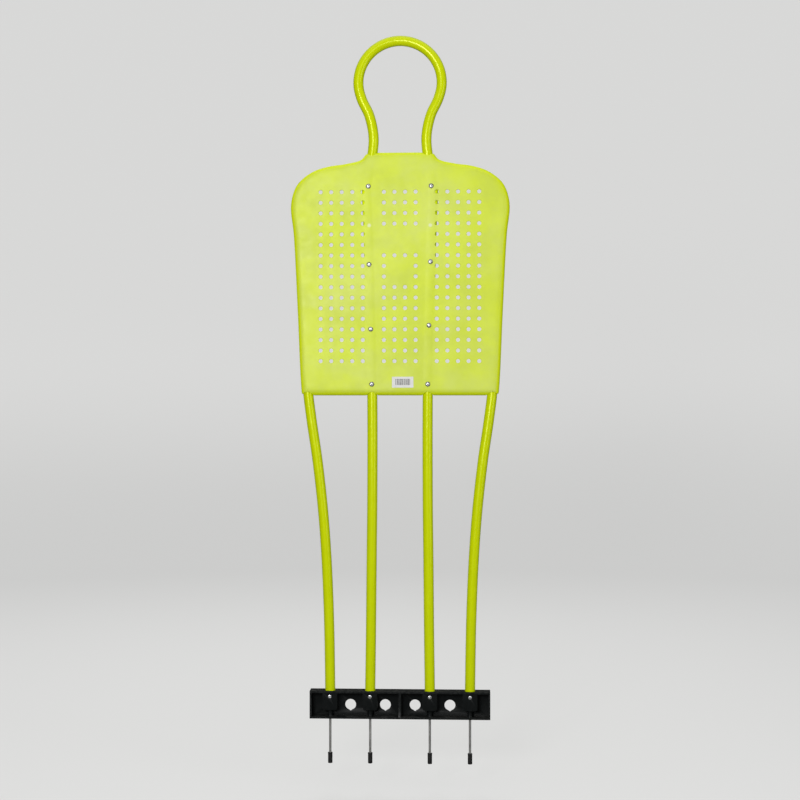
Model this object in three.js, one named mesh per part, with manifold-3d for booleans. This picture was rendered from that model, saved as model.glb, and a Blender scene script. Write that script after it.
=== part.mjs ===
// A free kick mannequin: a bright tube frame with a head loop and four legs, a perforated chest
// panel riveted to it, and a black base bar whose ground spikes wear rubber caps.
// Millimetres, +Z up, front facing -Y. The origin is the middle of the base bar's underside.

import * as THREE from "three";
import { mergeVertices } from "three/addons/utils/BufferGeometryUtils.js";
import Module from "manifold-3d";

const wasm = await Module();
wasm.setup();

// Fits and drafting
const seatGap = 0.3; // between pieces that seat on one another
const overrun = 3; // how far a cutter runs past what it cuts
const roundSides = 12; // sides of a round section
const boreSides = 8; // sides of a tube's bore
const smallSides = 8; // sides of a fastener and its hole
const holeSides = 6; // sides of a hole of the perforation
const runSteps = 2; // straight steps between two knots of a bent line
const weldReach = 1e-4; // points closer than this are one

// Frame tube
const frameHeight = 1689.3; // top of the head loop
const headDrop = 289.4; // from there down to the panel's collar
const tubeRadius = 12.5;
const tubeWall = 1.5;
const headRadius = 103.3; // centre line of the head loop
const headExitAngle = 23.5; // degrees below the loop's middle where the tube leaves the round
const headKnots = 12;
const neckHalf = 65.4; // half spacing of the tube's two sides at the neck
const neckRise = 36; // narrowest place of the neck, above the panel's collar
const chestHalf = 82; // half spacing behind the top of the chest panel
const chestDrop = 108; // widest place of the inner tube in the panel, below the collar
const innerHemHalf = 68.9; // half spacing of the inner legs at the panel's hem
const innerFootHalf = 73.9;
const outerHemHalf = 229; // half spacing of the outer legs at the panel's hem
const outerFootInset = 49.8; // outer legs in from the base bar's ends

// Bends of the legs: the share of the way up, and the share of the way from one half spacing to the next
const innerLegShares = [[0.22, 0.42], [0.45, 0.73], [0.64, 1.04]];
const innerPanelShares = [[0.53, 0.42], [0.86, 0.75]];
const innerCollarShares = [[0.14, 0.02], [0.53, 0.56]];
const innerThroatShares = [[0.58, 0.36]];
const outerLegShares = [[0.22, 0.05], [0.42, 0.155], [0.59, 0.315], [0.76, 0.566], [0.9, 0.84]];

// Chest panel
const panelHeight = 601.2; // from the hem to the collar at the neck
const panelHalf = 271.2; // half width at the shoulders
const panelWall = 3;
const rimClearance = 0.5; // between the outer tube and the rim rolled round it
const rimFlat = 0.6; // flat band along the middle of the rolled rim
const rimSteps = 5; // steps of a quarter of the rolled rim
const ribRise = 1; // raised bands over the inner legs
const ribHalf = 13;
const ribSlope = 3; // width of a band's sloping side

// The rim's line from hem to collar: the share of its greatest half width and of its height
const panelSideShares = [[0.934, 0.336], [0.973, 0.673], [1, 0.801], [0.956, 0.87], [0.888, 0.902],
  [0.8, 0.926], [0.676, 0.9422], [0.541, 0.9502]];
const shoulderEndShare = 0.9615; // height of the outer tube's end at the inner one
const collarMargin = 3.2; // of the collar's corner past the inner tube's middle

// Bends on from the shoulder, to the collar's corner and to the outer tube's end: the share of the
// way up, and of the way across
const collarSideShares = [[0.308, 0.619], [0.597, 0.858]];
const shoulderBendShares = [[0.56, 0.486]];

// Perforation
const pitch = 26.1;
const holeRadius = 5;
const topRowDrop = 99; // first row of holes, below the collar
const hemMargin = 80; // least height of the last row over the hem
const sideColumns = 5; // columns in each side field
const middleColumns = 4;
const columnsSkipped = 1; // columns left out over each inner leg
const blankRows = [5, 6]; // rows with no holes in the middle field
const framedRows = [8, 9]; // rows with only the outer two holes of the middle field

// Panel rivets, in pairs down the inner tube
const rivetHeightShares = [0.8585, 0.5427, 0.2795, 0.046]; // of the panel's height, from its hem
const rivetStaggerShares = [0, 0.0053, 0.0077, 0]; // left rivet lower and right rivet higher by this
const topRivetInset = 3.6; // how far the top pair sits inside the tube's middle
const rivetHeadRadius = 6;
const rivetHeadHeight = 2;
const rivetShankRadius = 2.4;
const rivetTailRadius = 3.2;
const rivetTailGap = 0.7; // between the set tail and the tube's bore
const rivetTailLength = 3;
const rivetPocketRadius = 1.2;
const rivetPocketDepth = 1;
const domeShares = [[0.6, 0.85], [0.9, 0.45]]; // a domed head's radius and height

// Label
const labelWidth = 53;
const labelHeight = 27;
const labelThickness = 0.3;
const labelOffset = 7.2; // to the right of the middle
const labelRise = 32.5; // its middle above the hem

// Base bar
const barLength = 446;
const barDepth = 34;
const barHeight = 68;
const topFlange = 5;
const bottomFlange = 4;
const barWeb = 4;
const barEnd = 4.5;
const middleRib = 6.5;
const bossWidth = 36;
const bossFloorHeight = 21; // underside of the bosses
const bossRecess = 1.5; // how far the bosses stand back from the bar's front
const bossCorner = 6;
const socketFloor = 4; // plastic between a boss's underside and the socket
const sleeveRadius = 6.5; // round the spike, under each boss
const webHoleRadius = 13.5;
const webHoleHeight = 29.5;
const webHoleSides = 24;
const notchDepth = 2.5; // pointed nick at the foot of each web hole
const cornerSteps = 3; // steps of a boss's rounded corner

// Base screws
const screwDrop = 13.5; // below the bar's top
const screwHeadRadius = 5;
const screwHeadHeight = 2.6;
const screwShankRadius = 2.1;
const screwLength = 12;
const screwTip = 3;
const crossLength = 5.4;
const crossWidth = 1.1;
const crossDepth = 1.3;

// Ground spikes and their caps
const spikeRadius = 3;
const spikeDrop = 107.2; // how far the point reaches below the bar
const spikePoint = 9;
const spikeHeadPlay = 0.8; // of the spike's head in its socket
const spikeHeadHeight = 3;
const capRadius = 5.8;
const capLength = 26.5;
const capFloor = 5.4;
const capEdge = 0.8;

// Sizes that follow
const collarHeight = frameHeight - headDrop;
const hemHeight = collarHeight - panelHeight;
const tubeBore = tubeRadius - tubeWall;
const headCentreHeight = frameHeight - tubeRadius - headRadius;
const cavityRadius = tubeRadius + rimClearance;
const rimRadius = cavityRadius + panelWall;
const rimHalf = panelHalf - rimRadius;
const rimFoot = hemHeight + rimRadius;
const rimTop = collarHeight - rimRadius;
const topRowHeight = collarHeight - topRowDrop;
const holeRows = Math.floor((topRowHeight - hemHeight - hemMargin) / pitch) + 1;
const panelFront = -rimRadius;
const barFront = -barDepth / 2;
const bossFront = barFront + bossRecess;
const socketHeight = bossFloorHeight + socketFloor;
const spikeHeadSeat = socketHeight + seatGap;
const spikeHeadRadius = tubeRadius - spikeHeadPlay;
const tubeFoot = spikeHeadSeat + spikeHeadHeight + seatGap;
const screwHeight = barHeight - screwDrop;
const outerFootHalf = barLength / 2 - outerFootInset;

const material = (color, roughness, metalness) =>
  new THREE.MeshStandardMaterial({ color, roughness, metalness });
const tubePaint = material(0xc3d600, 0.35, 0);
const panelPlastic = material(0xd0e250, 0.5, 0);
const barPlastic = material(0x0f1212, 0.5, 0);
const steel = material(0x9a9da0, 0.35, 1);
const rivetMetal = material(0xb9bdc4, 0.35, 1);
const rubber = material(0x0b0b0b, 0.8, 0);
const paper = material(0xf1f1ee, 0.7, 0);

// Solids
function solid(geometry) {
  const bare = geometry.clone();
  bare.deleteAttribute("normal");
  bare.deleteAttribute("uv");
  const merged = mergeVertices(bare, weldReach);
  return new wasm.Manifold(new wasm.Mesh({
    numProp: 3,
    vertProperties: merged.getAttribute("position").array,
    triVerts: new Uint32Array(merged.index.array),
  }));
}

function geometryOf(body) {
  const mesh = body.getMesh();
  const geometry = new THREE.BufferGeometry();
  geometry.setAttribute("position", new THREE.BufferAttribute(mesh.vertProperties, 3));
  geometry.setIndex(new THREE.BufferAttribute(mesh.triVerts, 1));
  geometry.computeVertexNormals();
  return geometry;
}

const model = new THREE.Group();

function place(name, geometry, look) {
  const mesh = new THREE.Mesh(geometry, look);
  mesh.name = name;
  model.add(mesh);
  return mesh;
}

// A box from one corner to the other
function box(x0, x1, y0, y1, z0, z1) {
  const geometry = new THREE.BoxGeometry(x1 - x0, y1 - y0, z1 - z0);
  return solid(geometry.translate((x0 + x1) / 2, (y0 + y1) / 2, (z0 + z1) / 2));
}

// A round bar along Y
function barAlongY(radius, x, z, y0, y1, sides) {
  const geometry = new THREE.CylinderGeometry(radius, radius, y1 - y0, sides);
  return solid(geometry.translate(x, (y0 + y1) / 2, z));
}

// A round bar along Z
function barAlongZ(radius, x, z0, z1) {
  const geometry = new THREE.CylinderGeometry(radius, radius, z1 - z0, roundSides);
  return solid(geometry.rotateX(Math.PI / 2).translate(x, 0, (z0 + z1) / 2));
}

// A piece turned round Y, from radii and places along the axis
function turned(profile, sides) {
  return new THREE.LatheGeometry(profile.map(([r, y]) => new THREE.Vector2(r, y)), sides);
}

// Bent lines in the frame's plane
class Run extends THREE.Curve {
  constructor(points) {
    super();
    this.points = points;
  }

  // Each straight step takes an equal part of t, however long it is
  getPoint(t, target = new THREE.Vector3()) {
    const along = t * (this.points.length - 1);
    const step = Math.min(Math.floor(along), this.points.length - 2);
    return target.lerpVectors(this.points[step], this.points[step + 1], along - step);
  }

  getUtoTmapping(u) {
    return u;
  }
}

const at = (half, height) => new THREE.Vector3(half, 0, height);
const mirrored = (points) => points.map((p) => at(-p.x, p.z)).reverse();

// The knots between two places, from shares of the way across and up
const between = (from, to, shares) => shares.map(([up, across]) =>
  at(THREE.MathUtils.lerp(from.x, to.x, across), THREE.MathUtils.lerp(from.z, to.z, up)));

// A smooth line through knots, as straight steps
const smooth = (knots) =>
  new THREE.CatmullRomCurve3(knots).getPoints(runSteps * (knots.length - 1));

function ring(radius, sides) {
  return Array.from({ length: sides }, (_, i) => {
    const angle = (i / sides) * 2 * Math.PI;
    return new THREE.Vector2(radius * Math.cos(angle), radius * Math.sin(angle));
  });
}

function sweep(section, points) {
  return new THREE.ExtrudeGeometry(section, {
    steps: points.length - 1,
    extrudePath: new Run(points),
    bevelEnabled: false,
  });
}

// A tube along a line, and the full round bar that clears a place for it
function tube(points) {
  const section = new THREE.Shape(ring(tubeRadius, roundSides));
  section.holes.push(new THREE.Path(ring(tubeBore, boreSides)));
  return solid(sweep(section, points));
}

const clearanceBar = (points) =>
  solid(sweep(new THREE.Shape(ring(tubeRadius + seatGap, roundSides)), points));

// The point at a height on a line that climbs all the way
function ontoLine(points, height) {
  const i = points.findIndex((p) => p.z > height);
  const [a, b] = [points[i - 1], points[i]];
  return a.clone().lerp(b, (height - a.z) / (b.z - a.z));
}

// The part of such a line between two heights
const stretch = (points, low, high) => [
  ontoLine(points, low), ...points.filter((p) => p.z > low && p.z < high), ontoLine(points, high),
];

// Frame lines. The legs bend above the base bar, and their feet stand straight in it.
const footOf = ({ x }) => at(x, tubeFoot);
const innerFoot = at(innerFootHalf, barHeight);
const innerHem = at(innerHemHalf, rimFoot);
const innerChest = at(chestHalf, collarHeight - chestDrop);
const neck = at(neckHalf, collarHeight + neckRise);
const exitAngle = THREE.MathUtils.degToRad(headExitAngle);

const headKnot = (angle) =>
  at(headRadius * Math.cos(angle), headCentreHeight + headRadius * Math.sin(angle));
const headArc = Array.from({ length: headKnots + 1 }, (_, i) =>
  headKnot(THREE.MathUtils.lerp(-exitAngle, Math.PI + exitAngle, i / headKnots)));

const innerLegKnots = [
  innerFoot, ...between(innerFoot, innerHem, innerLegShares),
  innerHem, ...between(innerHem, innerChest, innerPanelShares),
  innerChest, ...between(innerChest, neck, innerCollarShares),
  neck, ...between(neck, headArc[0], innerThroatShares),
];
const innerKnots = [...innerLegKnots, ...headArc, ...mirrored(innerLegKnots)];
const innerLine = [footOf(innerFoot), ...smooth(innerKnots), footOf(innerKnots.at(-1))];
const innerRise = innerLine.slice(0, runSteps * innerLegKnots.length + 2); // right foot to the loop

const rimAt = ([halfShare, heightShare]) =>
  at(rimHalf * halfShare, THREE.MathUtils.lerp(rimFoot, rimTop, heightShare));
const outerFoot = at(outerFootHalf, barHeight);
const outerHem = at(outerHemHalf, rimFoot);
const outerLegKnots = [outerFoot, ...between(outerFoot, outerHem, outerLegShares)];
const sideKnots = [outerHem, ...panelSideShares.map(rimAt)];
const shoulder = sideKnots.at(-1);
const shoulderEnd = ontoLine(innerRise, THREE.MathUtils.lerp(rimFoot, rimTop, shoulderEndShare));
const outerLine = [footOf(outerFoot), ...smooth([...outerLegKnots, ...sideKnots,
  ...between(shoulder, shoulderEnd, shoulderBendShares), shoulderEnd])];

const rimStart = runSteps * outerLegKnots.length + 1;
const rimSide = outerLine.slice(rimStart, rimStart + runSteps * (sideKnots.length - 1) + 1);
const collarCorner = ontoLine(innerRise, rimTop).add(at(collarMargin, 0));
const collarSide = smooth([shoulder, ...between(shoulder, collarCorner, collarSideShares), collarCorner]);
const rimLine = [...rimSide, ...collarSide.slice(1)];

// Fasteners
const rivetPlaces = (side) => rivetHeightShares.map((share, i) => {
  const placeShare = share + side * rivetStaggerShares[i];
  const middle = ontoLine(innerRise, THREE.MathUtils.lerp(hemHeight, collarHeight, placeShare));
  return middle.sub(at(i === 0 ? topRivetInset : 0, 0));
});
const drillFrom = panelFront - ribRise - overrun;

// The set tail starts where the inset pair's widest reach still clears the bore
const boreFlat = tubeBore * Math.cos(Math.PI / boreSides);
const tailFront = rivetTailGap - Math.sqrt(boreFlat ** 2 - (topRivetInset + rivetTailRadius) ** 2);
const rivetSeat = panelFront - ribRise - seatGap;
const rivetGrip = tailFront - rivetSeat; // from under the head to the set tail

// Holes through the front walls, down to the frame's plane
const rivetHoles = (side) => rivetPlaces(side).map(({ x, z }) =>
  barAlongY(rivetShankRadius + seatGap, side * x, z, drillFrom, 0, smallSides));
const screwHole = (x) =>
  barAlongY(screwShankRadius + seatGap, x, screwHeight, barFront - overrun, 0, smallSides);

// Frame tubes
const sides = [[-1, "left"], [1, "right"]];
const sided = (points, side) => points.map((p) => at(side * p.x, p.z));

let innerTube = tube(innerLine);
for (const [side] of sides) {
  for (const hole of rivetHoles(side)) innerTube = innerTube.subtract(hole);
  innerTube = innerTube.subtract(screwHole(side * innerFootHalf));
}
place("inner_frame_tube", geometryOf(innerTube), tubePaint);

const innerClearance = clearanceBar(innerLine);

for (const [side, name] of sides) {
  const outerTube = tube(sided(outerLine, side))
    .subtract(innerClearance)
    .subtract(screwHole(side * outerFootHalf));
  place("outer_tube_" + name, geometryOf(outerTube), tubePaint);
}

// Chest panel
const rimOutline = () => new THREE.Shape(
  [...rimLine, ...mirrored(rimLine)].map((p) => new THREE.Vector2(p.x, p.z)));

// A flat pillow inside the rim's line, with a round edge of the given radius
function pillow(radius) {
  const geometry = new THREE.ExtrudeGeometry(rimOutline(), {
    depth: rimFlat,
    bevelSize: radius,
    bevelThickness: radius - rimFlat / 2,
    bevelSegments: rimSteps,
  });
  return solid(geometry.translate(0, 0, -rimFlat / 2).rotateX(Math.PI / 2));
}

function backOpening() {
  const depth = rimRadius + overrun;
  const geometry = new THREE.ExtrudeGeometry(rimOutline(), { depth, bevelEnabled: false });
  return solid(geometry.rotateX(Math.PI / 2).translate(0, depth, 0));
}

// A raised band over an inner leg, from the middle of the panel's wall out
function rib(side) {
  const buried = panelWall / 2;
  const foot = ribHalf + (ribSlope * buried) / ribRise;
  const crest = ribHalf - ribSlope;
  const section = new THREE.Shape([
    new THREE.Vector2(rimRadius - buried, -foot),
    new THREE.Vector2(rimRadius + ribRise, -crest),
    new THREE.Vector2(rimRadius + ribRise, crest),
    new THREE.Vector2(rimRadius - buried, foot),
  ]);
  return solid(sweep(section, sided(stretch(innerRise, rimFoot, rimTop), side)));
}

function perforation() {
  const shapes = [];
  const outerColumn = (middleColumns - 1) / 2 + columnsSkipped + sideColumns;
  for (let row = 1; row <= holeRows; row += 1) {
    for (let column = -outerColumn; column <= outerColumn; column += 1) {
      const away = Math.abs(column);
      const inMiddle = away < middleColumns / 2;
      if (!inMiddle && away < outerColumn - sideColumns + 1) continue;
      if (inMiddle && blankRows.includes(row)) continue;
      if (inMiddle && framedRows.includes(row) && away < middleColumns / 2 - 1) continue;
      const hole = new THREE.Shape(ring(holeRadius, holeSides).map((p) =>
        p.add(new THREE.Vector2(column * pitch, topRowHeight - (row - 1) * pitch))));
      shapes.push(hole);
    }
  }
  const depth = panelWall + ribRise + 2 * overrun;
  const geometry = new THREE.ExtrudeGeometry(shapes, { depth, bevelEnabled: false });
  return solid(geometry.rotateX(Math.PI / 2).translate(0, -cavityRadius + overrun, 0));
}

let panel = pillow(rimRadius).subtract(pillow(cavityRadius)).subtract(backOpening());
for (const [side] of sides) {
  panel = panel.add(rib(side));
  for (const hole of rivetHoles(side)) panel = panel.subtract(hole);
  panel = panel.subtract(clearanceBar(sided(outerLine, side)));
}
panel = panel.subtract(innerClearance).subtract(perforation());
place("chest_panel", geometryOf(panel), panelPlastic);

// Rivets
function rivetGeometry() {
  const profile = [
    [0, rivetPocketDepth - rivetHeadHeight],
    [rivetPocketRadius, rivetPocketDepth - rivetHeadHeight],
    [rivetPocketRadius, -rivetHeadHeight],
    ...domeShares.map(([r, y]) => [rivetHeadRadius * r, -rivetHeadHeight * y]),
    [rivetHeadRadius, 0],
    [rivetShankRadius, 0],
    [rivetShankRadius, rivetGrip],
    [rivetTailRadius, rivetGrip],
    [rivetTailRadius, rivetGrip + rivetTailLength],
    [0, rivetGrip + rivetTailLength],
  ];
  return turned(profile, smallSides);
}

for (const [side, name] of sides) {
  rivetPlaces(side).forEach(({ x, z }, i) => {
    const rivet = place("panel_rivet_" + name + "_" + (i + 1), rivetGeometry(), rivetMetal);
    rivet.position.set(side * x, rivetSeat, z);
  });
}

// Label
const label = new THREE.BoxGeometry(labelWidth, labelThickness, labelHeight);
place("label", label, paper).position.set(
  labelOffset, panelFront - seatGap - labelThickness / 2, hemHeight + labelRise);

// Base bar
function boss(x) {
  const half = bossWidth / 2;
  const top = barHeight - topFlange / 2;
  const outline = new THREE.Shape();
  outline.moveTo(half, top);
  outline.lineTo(-half, top);
  outline.lineTo(-half, bossFloorHeight + bossCorner);
  outline.absarc(bossCorner - half, bossFloorHeight + bossCorner, bossCorner, Math.PI, 1.5 * Math.PI);
  outline.absarc(half - bossCorner, bossFloorHeight + bossCorner, bossCorner, -Math.PI / 2, 0);
  const back = -barFront - barWeb / 2;
  const geometry = new THREE.ExtrudeGeometry(
    outline, { depth: back - bossFront, bevelEnabled: false, curveSegments: cornerSteps });
  return solid(geometry.rotateX(Math.PI / 2).translate(x, back, 0));
}

// A web hole with the nick at its foot
function webHole(x) {
  const depth = barWeb + 2 * overrun;
  const back = -barFront + overrun;
  const nickHalf = webHoleRadius / 4;
  const foot = webHoleHeight - webHoleRadius;
  const nick = new THREE.Shape([
    new THREE.Vector2(-nickHalf, foot + notchDepth),
    new THREE.Vector2(0, foot - notchDepth),
    new THREE.Vector2(nickHalf, foot + notchDepth),
  ]);
  const geometry = new THREE.ExtrudeGeometry(nick, { depth, bevelEnabled: false });
  return barAlongY(webHoleRadius, x, webHoleHeight, back - depth, back, webHoleSides)
    .add(solid(geometry.rotateX(Math.PI / 2).translate(x, back, 0)));
}

const legHalves = [["outer", outerFootHalf], ["inner", innerFootHalf]];
const barHalf = barLength / 2;
const barBack = -barFront;
const webHoleHalves = [innerFootHalf / 2, (innerFootHalf + outerFootHalf) / 2]; // midway between the legs

let bar = box(-barHalf, barHalf, barFront, barBack, 0, barHeight).subtract(
  box(barEnd - barHalf, barHalf - barEnd, barFront - overrun, barBack - barWeb,
    bottomFlange, barHeight - topFlange));
bar = bar.add(box(-middleRib / 2, middleRib / 2, bossFront, barBack - barWeb / 2,
  bottomFlange / 2, barHeight - topFlange / 2));
for (const [side] of sides) {
  for (const [, half] of legHalves) {
    const x = side * half;
    bar = bar.add(boss(x))
      .add(barAlongZ(sleeveRadius, x, bottomFlange / 2, bossFloorHeight + overrun))
      .subtract(clearanceBar([at(x, socketHeight), at(x, barHeight + overrun)]))
      .subtract(barAlongZ(spikeRadius + seatGap, x, -overrun, socketHeight + overrun))
      .subtract(screwHole(x));
  }
  for (const half of webHoleHalves) bar = bar.subtract(webHole(side * half));
}
place("base_bar", geometryOf(bar), barPlastic);

// Base screws
function screwGeometry() {
  const profile = [
    [0, -screwHeadHeight],
    ...domeShares.map(([r, y]) => [screwHeadRadius * r, -screwHeadHeight * y]),
    [screwHeadRadius, 0],
    [screwShankRadius, 0],
    [screwShankRadius, screwLength - screwTip],
    [0, screwLength],
  ];
  const cross = (halfX, halfZ) =>
    box(-halfX, halfX, -screwHeadHeight - overrun, crossDepth - screwHeadHeight, -halfZ, halfZ);
  return geometryOf(solid(turned(profile, smallSides))
    .subtract(cross(crossLength / 2, crossWidth / 2))
    .subtract(cross(crossWidth / 2, crossLength / 2)));
}

// Ground spike, with the head that the tube's foot traps in its socket
function spikeGeometry() {
  const profile = [
    [0, -spikeDrop],
    [spikeRadius, spikePoint - spikeDrop],
    [spikeRadius, spikeHeadSeat],
    [spikeHeadRadius, spikeHeadSeat],
    [spikeHeadRadius, spikeHeadSeat + spikeHeadHeight],
    [0, spikeHeadSeat + spikeHeadHeight],
  ];
  return turned(profile, roundSides).rotateX(Math.PI / 2);
}

// Rubber cap over a spike's point
function capGeometry() {
  const foot = -spikeDrop - seatGap - capFloor;
  const mouth = foot + capLength;
  const bore = spikeRadius + seatGap;
  const profile = [
    [0, foot],
    [capRadius - capEdge, foot],
    [capRadius, foot + capEdge],
    [capRadius, mouth],
    [bore, mouth],
    [bore, foot + capFloor],
    [0, foot + capFloor],
  ];
  return turned(profile, roundSides).rotateX(Math.PI / 2);
}

for (const [side, name] of sides) {
  for (const [leg, half] of legHalves) {
    const x = side * half;
    const screw = place("base_screw_" + leg + "_" + name, screwGeometry(), steel);
    screw.position.set(x, bossFront - seatGap, screwHeight);
    place("ground_spike_" + leg + "_" + name, spikeGeometry(), steel).position.x = x;
    place("spike_cap_" + leg + "_" + name, capGeometry(), rubber).position.x = x;
  }
}

export default model;
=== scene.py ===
from collections import namedtuple
from math import atan2, cos, pi, radians, sin

import bmesh
import bpy
import numpy as np
from bpy.props import FloatProperty, FloatVectorProperty, IntProperty, PointerProperty
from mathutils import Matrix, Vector, noise
from mathutils.geometry import delaunay_2d_cdt


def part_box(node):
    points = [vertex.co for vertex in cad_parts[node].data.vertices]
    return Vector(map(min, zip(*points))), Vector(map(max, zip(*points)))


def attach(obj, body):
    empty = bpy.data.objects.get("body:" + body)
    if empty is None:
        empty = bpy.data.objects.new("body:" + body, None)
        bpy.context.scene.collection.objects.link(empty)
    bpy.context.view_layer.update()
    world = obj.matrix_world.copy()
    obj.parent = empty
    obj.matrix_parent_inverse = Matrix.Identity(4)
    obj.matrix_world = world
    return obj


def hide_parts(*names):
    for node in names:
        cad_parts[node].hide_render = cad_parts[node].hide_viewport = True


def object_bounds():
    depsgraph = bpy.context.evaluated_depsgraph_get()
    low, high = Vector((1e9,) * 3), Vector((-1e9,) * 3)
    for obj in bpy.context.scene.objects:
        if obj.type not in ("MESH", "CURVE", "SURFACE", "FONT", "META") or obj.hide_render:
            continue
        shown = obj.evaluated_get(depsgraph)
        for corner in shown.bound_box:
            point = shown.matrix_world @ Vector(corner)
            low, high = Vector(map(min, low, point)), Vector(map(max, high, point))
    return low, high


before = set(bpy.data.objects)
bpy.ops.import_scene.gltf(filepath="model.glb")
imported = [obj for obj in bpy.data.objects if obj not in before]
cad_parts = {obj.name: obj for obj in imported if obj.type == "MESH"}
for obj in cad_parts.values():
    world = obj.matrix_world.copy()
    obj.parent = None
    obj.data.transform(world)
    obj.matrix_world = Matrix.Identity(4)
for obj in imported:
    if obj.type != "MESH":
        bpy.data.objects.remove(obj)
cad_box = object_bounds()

bl_info = {
    "name": "Free Kick Mannequin",
    "version": (1, 0, 0),
    "blender": (4, 5, 0),
    "location": "3D View > Sidebar > Mannequin",
    "description": "Dresses a free kick mannequin's frame with detailed pieces, finishes and a studio stage",
    "category": "Add Mesh",
}

# Bends of the tubes, as in the solids: the share of the way up, and the share of the way across
INNER_LEG_SHARES = ((0.22, 0.42), (0.45, 0.73), (0.64, 1.04))
INNER_PANEL_SHARES = ((0.53, 0.42), (0.86, 0.75))
INNER_COLLAR_SHARES = ((0.14, 0.02), (0.53, 0.56))
INNER_THROAT_SHARES = ((0.58, 0.36),)
OUTER_LEG_SHARES = ((0.22, 0.05), (0.42, 0.155), (0.59, 0.315), (0.76, 0.566), (0.9, 0.84))
SHOULDER_BEND_SHARES = ((0.56, 0.486),)
COLLAR_SIDE_SHARES = ((0.308, 0.619), (0.597, 0.858))

# The rim's line from hem to collar: the share of its greatest half width and of its height
PANEL_SIDE_SHARES = ((0.934, 0.336), (0.973, 0.673), (1, 0.801), (0.956, 0.87), (0.888, 0.902),
                     (0.8, 0.926), (0.676, 0.9422), (0.541, 0.9502))

# Columns of the perforation in pitches from the middle, rows left out between the bands, and rows
# with the outer of their columns only
HOLE_COLUMNS = (0.5, 1.5, 3.5, 4.5, 5.5, 6.5, 7.5)
BLANK_ROWS = (5, 6)
FRAMED_ROWS = (8, 9)

# A hole's edge: the share of its rounding outward, and the share down from the face or up from the back
HOLE_FACE_SHARES = ((1, 0), (0.3, 0.24), (0, 1))
HOLE_BACK_SHARES = ((0, 0.4), (0.5, 0), (1, 0))

# Lines of points along a raised band, as shares of its half width, and where the open face's grid starts
BAND_SHARES = (-1.1, -1, -0.85, -0.7, -0.54, -0.38, 0, 0.38, 0.54, 0.7, 0.85, 1, 1.1)
GRID_SHARE = 1.3

# Widths of the label's printed bars and of the gaps after them, as shares of the label's width
LABEL_BAR_SHARES = ((0.02, 0.02), (0.01, 0.03), (0.03, 0.02), (0.01, 0.01), (0.02, 0.03),
                    (0.04, 0.01), (0.01, 0.02), (0.02, 0.02), (0.03, 0.03), (0.01, 0.02),
                    (0.02, 0.01), (0.01, 0.03), (0.03, 0.02), (0.02, 0.01), (0.01, 0.02),
                    (0.03, 0.01), (0.01, 0.02), (0.02, 0.02))

# Where those bars start across the label, and their margins below and above them
BAR_START_SHARE, BAR_FOOT_SHARE, BAR_TOP_SHARE = 0.16, 0.24, 0.2

# Width of a slot's floor in a screw's head, as a share of its mouth
SLOT_FLOOR_SHARE = 0.55

# The welds thin to a share of their radius in front of a depth, and ripple by a share every few points
BEAD_DEPTH, BEAD_FADE, BEAD_THIN_SHARE = -0.009, 0.007, 0.15
RIPPLE_SHARE, RIPPLE_POINTS = 0.2, 4

# Fineness of the meshes: steps along a bend, along lines and round the rim, and sides of rounds
BEND_STEPS, HEAD_KNOTS = 16, 13
TUBE_STEP, FINE_STEP = 0.006, 0.004
RIM_STEPS, LIP_STEPS, CORNER_STEPS, LABEL_STEPS, COVE_STEPS = 18, 6, 8, 5, 24
HOLE_SIDES, TURNED_SIDES, HEAD_SIDES, WINDOW_SIDES, BOWL_SIDES = 24, 32, 48, 64, 96
BEAD_SIDES, BEAD_POINTS, SHANK_RINGS = 8, 96, 8

# Fineness of the waves of the panel's face, and the slice of the noise that gives them
WAVE_SCALE, WAVE_SLICE = 9, 0.3

# How far the face's free points stay off the rim's line and off the holes
RIM_MARGIN, HOLE_MARGIN = 0.0035, 0.0013

# Least turns of the rim's line at a corner and of an edge to be rounded, and most turn between flat faces
CORNER_TURN, EDGE_TURN, FLAT_TURN = radians(25), radians(35), radians(0.5)

# Points of an outer tube's end at the neck, and where its plain rounds stop, as a share of its radius
NECK_POINTS, END_SHARE = 16, 2.2

# Soft lights of the stage: place, and width and height; and the place that they face
LIGHT_SIZES = {
    "key": ((-0.8, -3.6, 1.5), (1.0, 1.0)),
    "fill": ((2.6, -1.8, 1.2), (1.2, 2.0)),
    "top": ((0, -0.4, 3.2), (2.4, 2.4)),
    "back": ((-0.5, 2.3, 3.3), (2.0, 2.0)),
}
LIGHT_TARGET = (0, 0, 0.8)

# Width of the camera's film in millimetres, and how far it sees in metres
FILM_WIDTH, SIGHT = 36, 50

# Gap between pieces that fit in each other, and distance at which points are one
GAP, SAME_POINT = 0.0003, 1e-6

LEGS = ("outer_left", "inner_left", "inner_right", "outer_right")
RIVETS = tuple(f"{side}_{pair}" for pair in range(1, 5) for side in ("left", "right"))

inner_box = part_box("inner_frame_tube")
panel_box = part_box("chest_panel")
bar_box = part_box("base_bar")


def length(name, description, default):
    return FloatProperty(name=name, description=description, default=default, unit="LENGTH", precision=5)


def factor(name, description, default):
    return FloatProperty(name=name, description=description, default=default, min=0, max=1, subtype="FACTOR")


def power(name, description, default):
    return FloatProperty(name=name, description=description, default=default, min=0, unit="POWER")


def angle(name, description, degrees):
    return FloatProperty(name=name, description=description, default=radians(degrees), subtype="ANGLE")


def colour(name, description, default):
    return FloatVectorProperty(name=name, description=description, default=(*default, 1), subtype="COLOR",
                               size=4, min=0, max=1)


# Sizes and colours

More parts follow.
